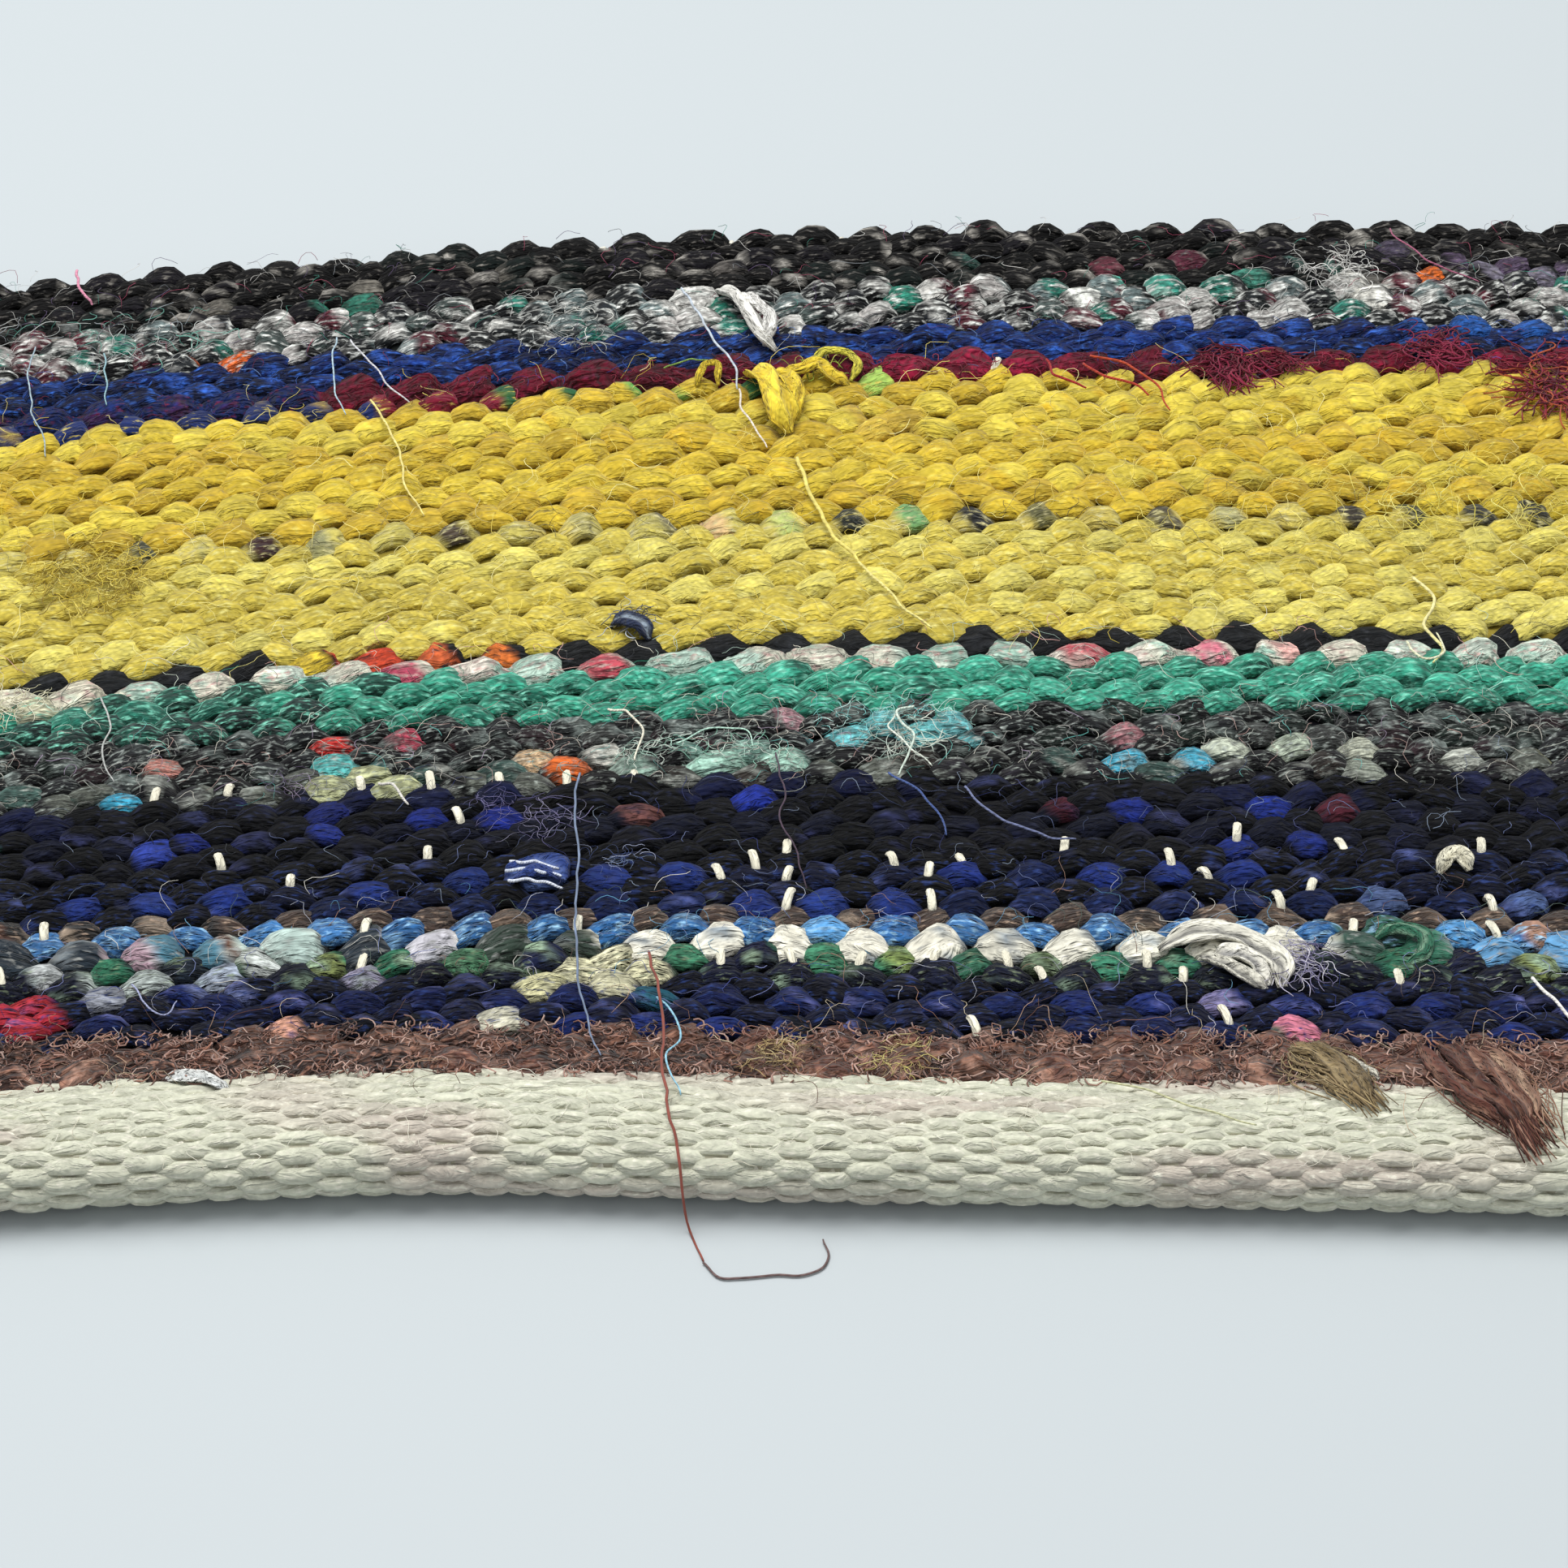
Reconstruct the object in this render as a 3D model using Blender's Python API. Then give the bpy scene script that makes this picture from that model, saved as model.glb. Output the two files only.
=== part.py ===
"""A cut length of a hand-woven rag runner, laid flat with its hemmed end to the front (-Y).

The runner is one piece of cloth. Thick rag wefts are beaten over cotton warps and make the ribbed
body, 5 mm thick. The end is woven fine, in cotton only, and turned under twice into a plump hem.
The weft rows run along X and the warps along Y. The origin is on the floor, under the middle.
"""

import math
from collections import namedtuple

import bmesh
import bpy
from mathutils import Matrix, Vector

MM = 0.001

# Driving sizes, in millimetres.
WIDTH = 240.0             # along the weft, from cut side to cut side
BODY_THICK = 5.0          # rag cloth, from the floor to the top of a rib
HEM_THICK = 2.5           # the fine end cloth
HEM_GAP = 0.5             # air between the layers of the turned hem
HEM_FLAT = 5.5            # straight stretch of each hem layer, between its two turns
HEM_ROW = 1.15            # weft pitch in the fine cloth
HEM_RIB = 0.3             # height of a hem rib
RAMP = 17.0               # plan length over which the hem's top falls to the body's
RAMP_UNDER = 14.0         # plan length over which the underside comes down to the floor
SWELL = 2.5               # how far the far middle and right stand off the floor
BOW = 13.5                # how far the rows fall back on the left
HEM_HOLLOW = 1.8          # how far the hem's front lies back in its one shallow hollow
HEM_CURVE = 3.4           # how far the hem's two ends come forward
COLUMNS = 16              # mesh steps across the width
SIDE_WANDER = 0.9         # unevenness of the cut sides

# The bands of the woven body, from the hem to the far end. Pitch and rib are in millimetres.
Band = namedtuple("Band", "name rows pitch rib")
BANDS = (
    Band("brown_chenille", 4, 3.10, 1.0),
    Band("navy_rag", 4, 2.15, 0.9),
    Band("green_rag", 2, 2.40, 1.0),
    Band("white_rag", 1, 3.00, 1.3),
    Band("light_blue_rag", 1, 2.50, 1.1),
    Band("thin_brown_rag", 1, 2.30, 0.7),
    Band("navy_and_black_rag", 10, 2.34, 0.9),
    Band("mixed_short_rag", 2, 2.25, 1.0),
    Band("grey_marl_rag", 4, 2.20, 0.8),
    Band("mint_jersey", 4, 2.18, 1.1),
    Band("cream_rag", 1, 2.60, 1.1),
    Band("black_rag", 1, 3.00, 0.8),
    Band("pale_yellow_rag", 9, 2.45, 1.1),
    Band("spotted_rag", 1, 2.80, 1.0),
    Band("bright_yellow_rag", 11, 2.66, 1.2),
    Band("dark_red_rag", 1, 3.30, 1.0),
    Band("royal_blue_rag", 3, 2.40, 1.0),
    Band("grey_mixed_rag", 4, 2.65, 1.0),
    Band("black_speckled_rag", 6, 2.30, 0.9),
)

# Lumps where the end of a rag stands proud of the cloth. x runs from the middle and y from the
# hem's front. Turn is in degrees, from X towards Y.
RagEnd = namedtuple("RagEnd", "name x y length width height turn")
RAG_ENDS = (
    RagEnd("yellow_loop", 1.0, 143.5, 10.0, 9.0, 3.0, 20),
    RagEnd("crumpled_white_end", 53.0, 37.0, 14.0, 8.0, 2.4, -25),
    RagEnd("brown_lock_left", 61.0, 12.5, 9.0, 4.5, 1.4, -50),
    RagEnd("brown_lock_right", 74.0, 10.5, 15.0, 6.5, 1.8, -50),
    RagEnd("yellow_ball", -85.0, 112.0, 14.0, 9.0, 2.6, 10),
    RagEnd("dark_red_tuft", 62.0, 153.0, 12.0, 6.0, 2.0, 0),
)

# Heights and places that follow from the driving sizes. y = 0 is the hem's front.
LAYER_STEP = HEM_THICK + HEM_GAP
HEM_TOP = 3 * HEM_THICK + 2 * HEM_GAP
FRONT_RADIUS = HEM_TOP / 2
FRONT_Y = FRONT_RADIUS
BACK_Y = FRONT_Y + HEM_FLAT
TURN_RADIUS = HEM_THICK + HEM_GAP / 2
BODY_START = BACK_Y + TURN_RADIUS
BODY_DEPTH = sum(band.rows * band.pitch for band in BANDS)
LENGTH = BODY_START + BODY_DEPTH


def ease(value, start, length):
    """0 before start, 1 after start + length, with a soft S between."""
    share = min(max((value - start) / length, 0.0), 1.0)
    return share * share * (3 - 2 * share)


def top_at(y):
    """Height of the cloth's face at y, ribs left out."""
    return HEM_TOP + (BODY_THICK - HEM_TOP) * ease(y, BACK_Y - HEM_FLAT / 2, RAMP)


def under_at(y):
    """Height of the cloth's underside at y, behind the hem's front turn."""
    hem_under = HEM_TOP - HEM_THICK
    return hem_under * (1 - ease(y, BACK_Y + HEM_GAP, RAMP_UNDER))


def arc(centre_y, centre_z, radius, start, end, steps, rib=0.0):
    """Points (y, z) on an arc, in degrees from +Y towards +Z. Every other point stands rib lower."""
    points = []
    for step in range(steps + 1):
        angle = math.radians(start + (end - start) * step / steps)
        reach = radius - rib * (step % 2)
        points.append((centre_y + reach * math.cos(angle), centre_z + reach * math.sin(angle)))
    return points


def face_line():
    """The cloth's face, as (y, z) from the hem's tucked edge, round the hem and over the body."""
    tuck_z = HEM_THICK + LAYER_STEP
    points = [(FRONT_Y, tuck_z)]
    points += arc(BACK_Y, TURN_RADIUS, TURN_RADIUS, 90, -90, 8)
    front_steps = 2 * round(math.pi * FRONT_RADIUS / HEM_ROW)
    points += arc(FRONT_Y, FRONT_RADIUS, FRONT_RADIUS, 270, 90, front_steps, HEM_RIB)
    hem_rows = round((BODY_START - FRONT_Y) / HEM_ROW)
    half_row = (BODY_START - FRONT_Y) / hem_rows / 2
    for step in range(1, 2 * hem_rows):
        y = FRONT_Y + half_row * step
        points.append((y, top_at(y) - HEM_RIB * (step % 2)))
    y = BODY_START
    for band in BANDS:
        for _ in range(band.rows):
            points.append((y, top_at(y) - band.rib))
            points.append((y + band.pitch / 2, top_at(y + band.pitch / 2)))
            y += band.pitch
    points.append((LENGTH, BODY_THICK - BANDS[-1].rib))
    return points


def under_line():
    """The cloth's underside, as (y, z) from the same tucked edge to the same far end."""
    points = [(FRONT_Y, LAYER_STEP)]
    points += arc(BACK_Y, TURN_RADIUS, HEM_GAP / 2, 90, -90, 4)
    points += arc(FRONT_Y, FRONT_RADIUS, FRONT_RADIUS - HEM_THICK, 270, 90, 8)
    for step in range(9):
        y = BACK_Y + HEM_GAP + RAMP_UNDER * step / 8
        points.append((y, under_at(y)))
    flat_start = BACK_Y + HEM_GAP + RAMP_UNDER
    flat_steps = 12
    for step in range(1, flat_steps + 1):
        points.append((flat_start + (LENGTH - flat_start) * step / flat_steps, 0.0))
    return points


def hem_sway(x):
    """How far the hem's front lies back from a straight line at x."""
    hollow = HEM_HOLLOW * math.exp(-(((x + 0.17 * WIDTH) / (0.15 * WIDTH)) ** 2))
    return hollow - HEM_CURVE * (2 * x / WIDTH) ** 2


def row_bow(x):
    """How far the rows fall back at x: nothing on the right, all of BOW on the left."""
    share = (WIDTH / 2 - x) / WIDTH
    return -BOW * share ** 3


def swell(x, y):
    """How far the cloth stands off the floor: a low swell under the far middle and right."""
    return SWELL * ease(y, 0.5 * LENGTH, 0.45 * LENGTH) * ease(x, -0.45 * WIDTH, 0.5 * WIDTH)


def side_wander(y, side):
    """Small in and out of a cut side along the length."""
    return SIDE_WANDER * math.sin(y / 11.0 + 1.7 * side) * math.cos(y / 29.0)


def laid(x, y, z):
    """The point of the cloth that would be at x, y, z on straight cloth, as it really lies."""
    bowed = ease(y, 10.0, 85.0)
    side = 2 * x / WIDTH
    out = x + side ** 8 * side_wander(y, 1 if x > 0 else -1)
    back = y + (1 - bowed) * hem_sway(x) + bowed * row_bow(x)
    return Vector((out * MM, back * MM, (z + swell(x, y)) * MM))


def sweep(mesh, line):
    """Rows of vertices along X for each point of the line, joined into a sheet of quads."""
    rows = []
    for y, z in line:
        xs = [WIDTH * (column / COLUMNS - 0.5) for column in range(COLUMNS + 1)]
        rows.append([mesh.verts.new(laid(x, y, z)) for x in xs])
    for near, far in zip(rows, rows[1:]):
        for column in range(COLUMNS):
            mesh.faces.new((near[column], near[column + 1], far[column + 1], far[column]))
    return rows


def close_edges(mesh, face_rows, under_rows):
    """Joins face and underside at the tucked edge, the far end and the two cut sides."""
    for face, under in ((face_rows[0], under_rows[0]), (face_rows[-1], under_rows[-1])):
        for column in range(COLUMNS):
            mesh.faces.new((face[column], face[column + 1], under[column + 1], under[column]))
    for column in (0, COLUMNS):
        rim = [row[column] for row in face_rows] + [row[column] for row in reversed(under_rows)]
        mesh.faces.new(rim)


def fabric(name, colour):
    """A matt cloth material."""
    material = bpy.data.materials.new(name)
    material.use_nodes = True
    shader = material.node_tree.nodes["Principled BSDF"]
    shader.inputs["Base Color"].default_value = (*colour, 1.0)
    shader.inputs["Roughness"].default_value = 0.92
    shader.inputs["Metallic"].default_value = 0.0
    return material


def build_rug():
    """The runner's cloth as one closed solid, its hem turned under."""
    mesh = bmesh.new()
    face_rows = sweep(mesh, face_line())
    under_rows = sweep(mesh, under_line())
    close_edges(mesh, face_rows, under_rows)
    bmesh.ops.triangulate(mesh, faces=mesh.faces)
    bmesh.ops.recalc_face_normals(mesh, faces=mesh.faces)
    data = bpy.data.meshes.new("rug")
    mesh.to_mesh(data)
    mesh.free()
    data.materials.append(fabric("rug", (0.62, 0.52, 0.20)))
    rug = bpy.data.objects.new("rug", data)
    bpy.context.scene.collection.objects.link(rug)
    return rug


def add_rag_end(rug, end):
    """Fuses one low lump into the cloth's face."""
    mesh = bmesh.new()
    centre = laid(end.x, end.y, top_at(end.y) - 0.4)
    size = Matrix.Diagonal((end.length / 2 * MM, end.width / 2 * MM, end.height * MM, 1.0))
    turn = Matrix.Rotation(math.radians(end.turn), 4, "Z")
    place = Matrix.Translation(centre) @ turn @ size
    bmesh.ops.create_uvsphere(mesh, u_segments=12, v_segments=6, radius=1.0, matrix=place)
    data = bpy.data.meshes.new(end.name)
    mesh.to_mesh(data)
    mesh.free()
    lump = bpy.data.objects.new(end.name, data)
    bpy.context.scene.collection.objects.link(lump)
    lump.hide_render = True
    lump.display_type = "WIRE"
    union = rug.modifiers.new(end.name, "BOOLEAN")
    union.operation = "UNION"
    union.object = lump


def centre_on_floor(rug):
    """Puts the origin on the floor, under the middle of the cloth's outline."""
    xs = [vertex.co.x for vertex in rug.data.vertices]
    ys = [vertex.co.y for vertex in rug.data.vertices]
    middle = Vector(((min(xs) + max(xs)) / 2, (min(ys) + max(ys)) / 2, 0.0))
    rug.data.transform(Matrix.Translation(-middle))
    for modifier in rug.modifiers:
        modifier.object.data.transform(Matrix.Translation(-middle))


for old in list(bpy.data.objects):
    bpy.data.objects.remove(old, do_unlink=True)

rug = build_rug()
for rag_end in RAG_ENDS:
    add_rag_end(rug, rag_end)
centre_on_floor(rug)
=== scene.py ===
# %% [markdown]
# A rag runner, woven row by row
#
# The real cloth is made on a loom from two things: thin cream cotton warps, held tight, and thick
# weft rows of torn jersey and shirting beaten over them. Nothing else holds it together, so the
# model is built the same way. Each weft row is one strand that climbs over a warp and dives under
# the next, and its neighbour does the opposite. The brick pattern of humps comes from that alone.

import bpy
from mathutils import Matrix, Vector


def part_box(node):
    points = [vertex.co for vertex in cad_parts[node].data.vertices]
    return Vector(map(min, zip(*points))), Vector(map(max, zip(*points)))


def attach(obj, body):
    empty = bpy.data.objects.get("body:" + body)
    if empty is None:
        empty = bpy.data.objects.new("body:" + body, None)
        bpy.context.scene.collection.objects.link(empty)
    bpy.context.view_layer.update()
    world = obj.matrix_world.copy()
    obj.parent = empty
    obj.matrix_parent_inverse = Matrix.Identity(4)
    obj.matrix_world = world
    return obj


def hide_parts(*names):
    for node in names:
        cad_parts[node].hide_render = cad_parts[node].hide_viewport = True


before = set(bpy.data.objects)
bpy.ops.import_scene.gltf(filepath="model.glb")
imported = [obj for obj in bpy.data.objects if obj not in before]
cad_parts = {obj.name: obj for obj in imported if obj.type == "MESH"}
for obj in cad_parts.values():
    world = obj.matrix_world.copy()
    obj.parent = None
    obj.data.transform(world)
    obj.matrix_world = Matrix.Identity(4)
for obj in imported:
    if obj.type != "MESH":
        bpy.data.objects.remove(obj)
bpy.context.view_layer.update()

import math
from collections import namedtuple

import bmesh
import bpy
import numpy as np
from mathutils import Matrix, Vector

MM = 0.001
LOW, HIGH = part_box("rug")
print("solid cloth", [round((high - low) / MM, 1) for low, high in zip(LOW, HIGH)], "mm")

# %% [markdown]
# The sizes of the cloth
#
# All lengths are in millimetres on straight cloth: x along a weft row, y from the hem's front
# towards the far end, z up from the floor. The cloth's thickness and the way its end is turned
# under give every height in the hem, so only those few sizes are given.

# %% Sizes
WIDTH = 240.0             # along a weft row, from cut side to cut side
WARP_PITCH = 4.0
WARP_THICK = 1.3
BODY_THICK = 5.0          # the rag cloth, lying on the floor
HEM_THICK = 2.5           # the fine cotton end
HEM_GAP = 0.5             # air between the layers of the turned hem
HEM_FLAT = 5.5            # straight stretch of a hem layer, between its two turns
HEM_ROW = 1.15            # room that a fine cotton row takes
COTTON_RUN = 3.1          # how far the cotton runs on up the slope behind the hem
RAMP = 17.0               # the face falls from hem to body over this length
RAMP_UNDER = 14.0         # and the underside comes down to the floor over this one

LAYER_STEP = HEM_THICK + HEM_GAP
HEM_TOP = 3 * HEM_THICK + 2 * HEM_GAP
FRONT_RADIUS = HEM_TOP / 2
FRONT_Y = FRONT_RADIUS
BACK_Y = FRONT_Y + HEM_FLAT
TURN_RADIUS = HEM_THICK + HEM_GAP / 2
BODY_START = BACK_Y + TURN_RADIUS
RAG_START = BODY_START + COTTON_RUN
print("hem", HEM_TOP, "mm high, first rag row", RAG_START, "mm behind its front")

# %% [markdown]
# How the cloth lies
#
# A heavy rug doesn't lie like paper. Its rows fall back on the left, the hem bends forward at both
# ends, the far middle stands a little off the floor and the sides wander. A few smooth functions
# are enough for that. Every strand is first worked out straight, then sent through `lay`, so they
# all follow the same ground and nothing slides off it.

# %% Laying the straight cloth down
SWELL = 2.5               # how far the far middle and right stand off the floor
BOW = 13.5                # how far the rows fall back on the left
BOW_FROM, BOW_OVER = 10.0, 85.0      # the hem's own curve gives way to the bow over this stretch
HEM_HOLLOW = 1.8          # how far the hem's front lies back in its one shallow hollow
HOLLOW_AT, HOLLOW_WIDE = -0.17 * WIDTH, 0.15 * WIDTH
HEM_CURVE = 3.4           # how far the hem's two ends come forward
SIDE_WANDER = 0.9         # unevenness of the cut sides
WANDER_SHORT, WANDER_LONG = 11.0, 29.0
FRONT_AT = LOW[1] / MM + HEM_CURVE


def ease(value, start, length):
    """0 before start, 1 after start + length, with a soft S between."""
    share = np.clip((value - start) / length, 0.0, 1.0)
    return share * share * (3 - 2 * share)


def top_at(y):
    """Height of the cloth's face at y."""
    return HEM_TOP + (BODY_THICK - HEM_TOP) * ease(y, BACK_Y - HEM_FLAT / 2, RAMP)


def under_at(y):
    """Height of the cloth's underside at y, behind the hem."""
    return (HEM_TOP - HEM_THICK) * (1 - ease(y, BACK_Y + HEM_GAP, RAMP_UNDER))


def lay(x, y, z):
    """Points of straight cloth, in millimetres, as they really lie, in metres."""
    bowed = ease(y, BOW_FROM, BOW_OVER)
    hollow = HEM_HOLLOW * np.exp(-(((x - HOLLOW_AT) / HOLLOW_WIDE) ** 2))
    sway = hollow - HEM_CURVE * (2 * x / WIDTH) ** 2
    bow = -BOW * ((WIDTH / 2 - x) / WIDTH) ** 3
    side = np.where(x > 0, 1.0, -1.0)
    wander = SIDE_WANDER * np.sin(y / WANDER_SHORT + 1.7 * side) * np.cos(y / WANDER_LONG)
    swell = SWELL * ease(y, 0.5 * LENGTH, 0.45 * LENGTH) * ease(x, -0.45 * WIDTH, 0.5 * WIDTH)
    out = x + (2 * x / WIDTH) ** 8 * wander
    back = y + (1 - bowed) * sway + bowed * bow + FRONT_AT
    return np.stack(np.broadcast_arrays(out, back, z + swell), axis=-1) * MM


# %% [markdown]
# Chance, but the same chance each time
#
# Hand work is uneven. Smooth random fields stand in for the weaver's hand: a table of seeded
# numbers, blended softly from one cell to the next. `cloud` gives -1 to 1 and takes the size of
# its cells in millimetres, so every unevenness has a real size.

# %% A smooth random field
CLOUD_SIDE = 128
CLOUDS = np.random.default_rng(7).uniform(-1, 1, (12, CLOUD_SIDE, CLOUD_SIDE))


def cloud(x, y, cell_x, cell_y, layer):
    """A smooth field from -1 to 1, with cells of the given size. Each layer is another field."""
    across, along = np.broadcast_arrays(x / cell_x + 50.3, y / cell_y + 50.3)
    left, low = np.floor(across).astype(int), np.floor(along).astype(int)
    share_x, share_y = ease(across - left, 0, 1), ease(along - low, 0, 1)

    def corner(i, j):
        return CLOUDS[layer][(left + i) % CLOUD_SIDE, (low + j) % CLOUD_SIDE]

    near = corner(0, 0) * (1 - share_x) + corner(1, 0) * share_x
    far = corner(0, 1) * (1 - share_x) + corner(1, 1) * share_x
    return near * (1 - share_y) + far * share_y


# %% [markdown]
# Colours, and choices for many strands at once
#
# Dyes are written as sRGB hex, as a screen shows them. Blender counts in linear light, so one
# function turns them. Thousands of hairs are drawn as whole columns of numbers, one row to a
# strand, because that is far quicker than a loop and keeps every draw in its seeded order.

# %% Colours and draws
def linear(hex_colour):
    """An sRGB hex colour as linear red, green and blue."""
    values = [int(hex_colour[i:i + 2], 16) / 255 for i in (1, 3, 5)]
    return [v / 12.92 if v <= 0.04045 else ((v + 0.055) / 1.055) ** 2.4 for v in values]


def tones_of(hex_colours):
    """One linear colour, or the list of them when several are named."""
    tones = np.array([linear(tone) for tone in hex_colours.split()])
    return tones if len(tones) > 1 else tones[0]


def by_strand(draw, count):
    """A function that draws one number for each of count strands, as a column."""
    return lambda low, high: draw.uniform(low, high, count)[:, None]


def pick_tones(draw, hex_colours, count):
    """A dye for each of count strands, the same along its whole length."""
    tones = tones_of(hex_colours)
    return tones[draw.integers(0, len(tones), count)][:, None]


# %% [markdown]
# The rag stripes, from the hem to the far end
#
# A weaver keeps a box of rag balls and changes ball when one runs out. Each stripe lists its rows,
# the room that a row takes, and the rags it was wound from. `run` is how far one rag lasts before
# the next is joined on, in millimetres. `lobe` is how deeply the twisted rag creases, `loft` how
# thick it is, and `climb` how far it climbs over each warp: a slack thick rag hardly dives at all.
# `print` is the second colour printed or knitted into the rags, and how much of them it covers.

# %% The stripes
Stripe = namedtuple("Stripe", "name rows pitch run lobe loft climb print rags")
STRIPES = (
    Stripe("brown_chenille", 3, 3.10, (6, 24), 0.16, 0.95, 0.50, ("#A98270", 0.25),
           "#52332A #643F34 #3C241D #583729 #301C16"),
    Stripe("navy_rag", 4, 2.15, (14, 60), 0.15, 1.00, 0.85, ("#5A5F96", 0.10),
           "#0B1230 #101D4C #070A1A #142460 #080B16 #0C1640"),
    Stripe("green_rag", 2, 2.40, (7, 22), 0.14, 1.00, 0.90, ("#9DB79A", 0.20),
           "#2C6B50 #56705A #0E1430 #3C7A5C #101838 #77834E #12162E"),
    Stripe("white_rag", 1, 3.20, (14, 50), 0.14, 1.28, 1.00, ("#8C969C", 0.16),
           "#ECE8D6 #E2DFCE #F0ECDA #D8D7CA"),
    Stripe("light_blue_rag", 1, 2.40, (14, 40), 0.14, 0.96, 0.85, ("#7AA6CC", 0.15),
           "#2C629C #265A8E #3A70A8 #244E7C"),
    Stripe("thin_brown_rag", 1, 2.20, (6, 18), 0.12, 0.80, 0.70, ("#9C8A78", 0.20),
           "#43352E #56382C #2A221E #5E4E42 #1A1614"),
    Stripe("navy_and_black_rag", 4, 2.34, (12, 40), 0.15, 0.98, 0.90, ("#4A5488", 0.10),
           "#0C1636 #080D24 #0E1A40 #07080F"),
    Stripe("black_rag_low", 4, 2.34, (14, 50), 0.14, 0.92, 0.85, ("#2A2E50", 0.05),
           "#060709 #08090D #0A0B12 #050607 #090D1E"),
    Stripe("black_rag_high", 2, 2.34, (10, 30), 0.14, 0.92, 0.85, ("#30365C", 0.06),
           "#060709 #0A0B10 #050607 #0C1230"),
    Stripe("mixed_short_rag", 2, 2.25, (3, 9), 0.14, 0.95, 0.80, ("#8E918A", 0.16),
           "#0C0C0E #1E1C22 #3E5650 #28282C #0E0E12 #5C6058 #141418 #332E2A"),
    Stripe("grey_marl_rag", 4, 2.20, (4, 14), 0.15, 0.90, 0.80, ("#727C78", 0.22),
           "#16181A #101013 #242628 #0C0C0F #2A1E22 #121618 #14201B #3A3C3A #0E0E10"),
    Stripe("mint_jersey", 4, 2.18, (20, 70), 0.08, 1.10, 1.00, ("#14604E", 0.28),
           "#3FAE90 #46B698 #329A7E #3AA486"),
    Stripe("cream_rag", 1, 2.70, (6, 18), 0.12, 1.15, 0.45, ("#9CC0AE", 0.22),
           "#DCDCC8 #C8D6C6 #E0D6C8 #B4CEBE #E4E0CC"),
    Stripe("black_rag", 1, 2.90, (30, 90), 0.10, 0.80, 0.40, ("#2A2C30", 0.05),
           "#0E1012 #0B0D10 #121416"),
    Stripe("pale_yellow_rag", 9, 2.45, (50, 140), 0.14, 1.00, 0.85, ("#C9B548", 0.08),
           "#D3C45A #CEBC4E #D8CB64 #C8B548"),
    Stripe("spotted_rag", 1, 2.80, (6, 18), 0.14, 0.90, 0.80, ("#A8A05C", 0.12),
           "#CCBB58 #C4B556 #CEBD5A #BCB058 #C6B458"),
    Stripe("bright_yellow_rag", 11, 2.64, (50, 140), 0.16, 1.08, 0.90, ("#CDAA28", 0.08),
           "#D0B738 #CAAE30 #D4BF44 #C2A42E"),
    Stripe("dark_red_rag", 1, 3.52, (14, 40), 0.20, 1.22, 0.40, ("#4A0818", 0.25),
           "#7C0E2C #8A1234 #620A22"),
    Stripe("royal_blue_rag", 3, 2.40, (10, 40), 0.18, 1.00, 0.60, ("#2C56B0", 0.14),
           "#0C2158 #0F2A6C #091A4A #07143A"),
    Stripe("grey_mixed_rag", 4, 2.65, (2.5, 7), 0.18, 1.00, 0.90, ("#D5D4CE", 0.16),
           "#6C7C7C #14181A #D2D0CA #2F7A6A #0A0A0C #46524F #B2AEAA #1A1E22 #5A2430 #14161A #101214"),
    Stripe("black_speckled_rag", 6, 2.30, (6, 20), 0.14, 0.92, 0.85, ("#A8A49C", 0.09),
           "#060505 #090808 #040404 #0B0A0A #0A1412 #121016"),
)
PITCHES = [stripe.pitch for stripe in STRIPES for _ in range(stripe.rows)]
LENGTH = RAG_START + sum(stripe.rows * stripe.pitch for stripe in STRIPES)
ROW_COUNT = len(PITCHES)
print(ROW_COUNT, "rag rows over", round(WIDTH / WARP_PITCH), "warps,", round(LENGTH, 1), "mm long")
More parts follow.
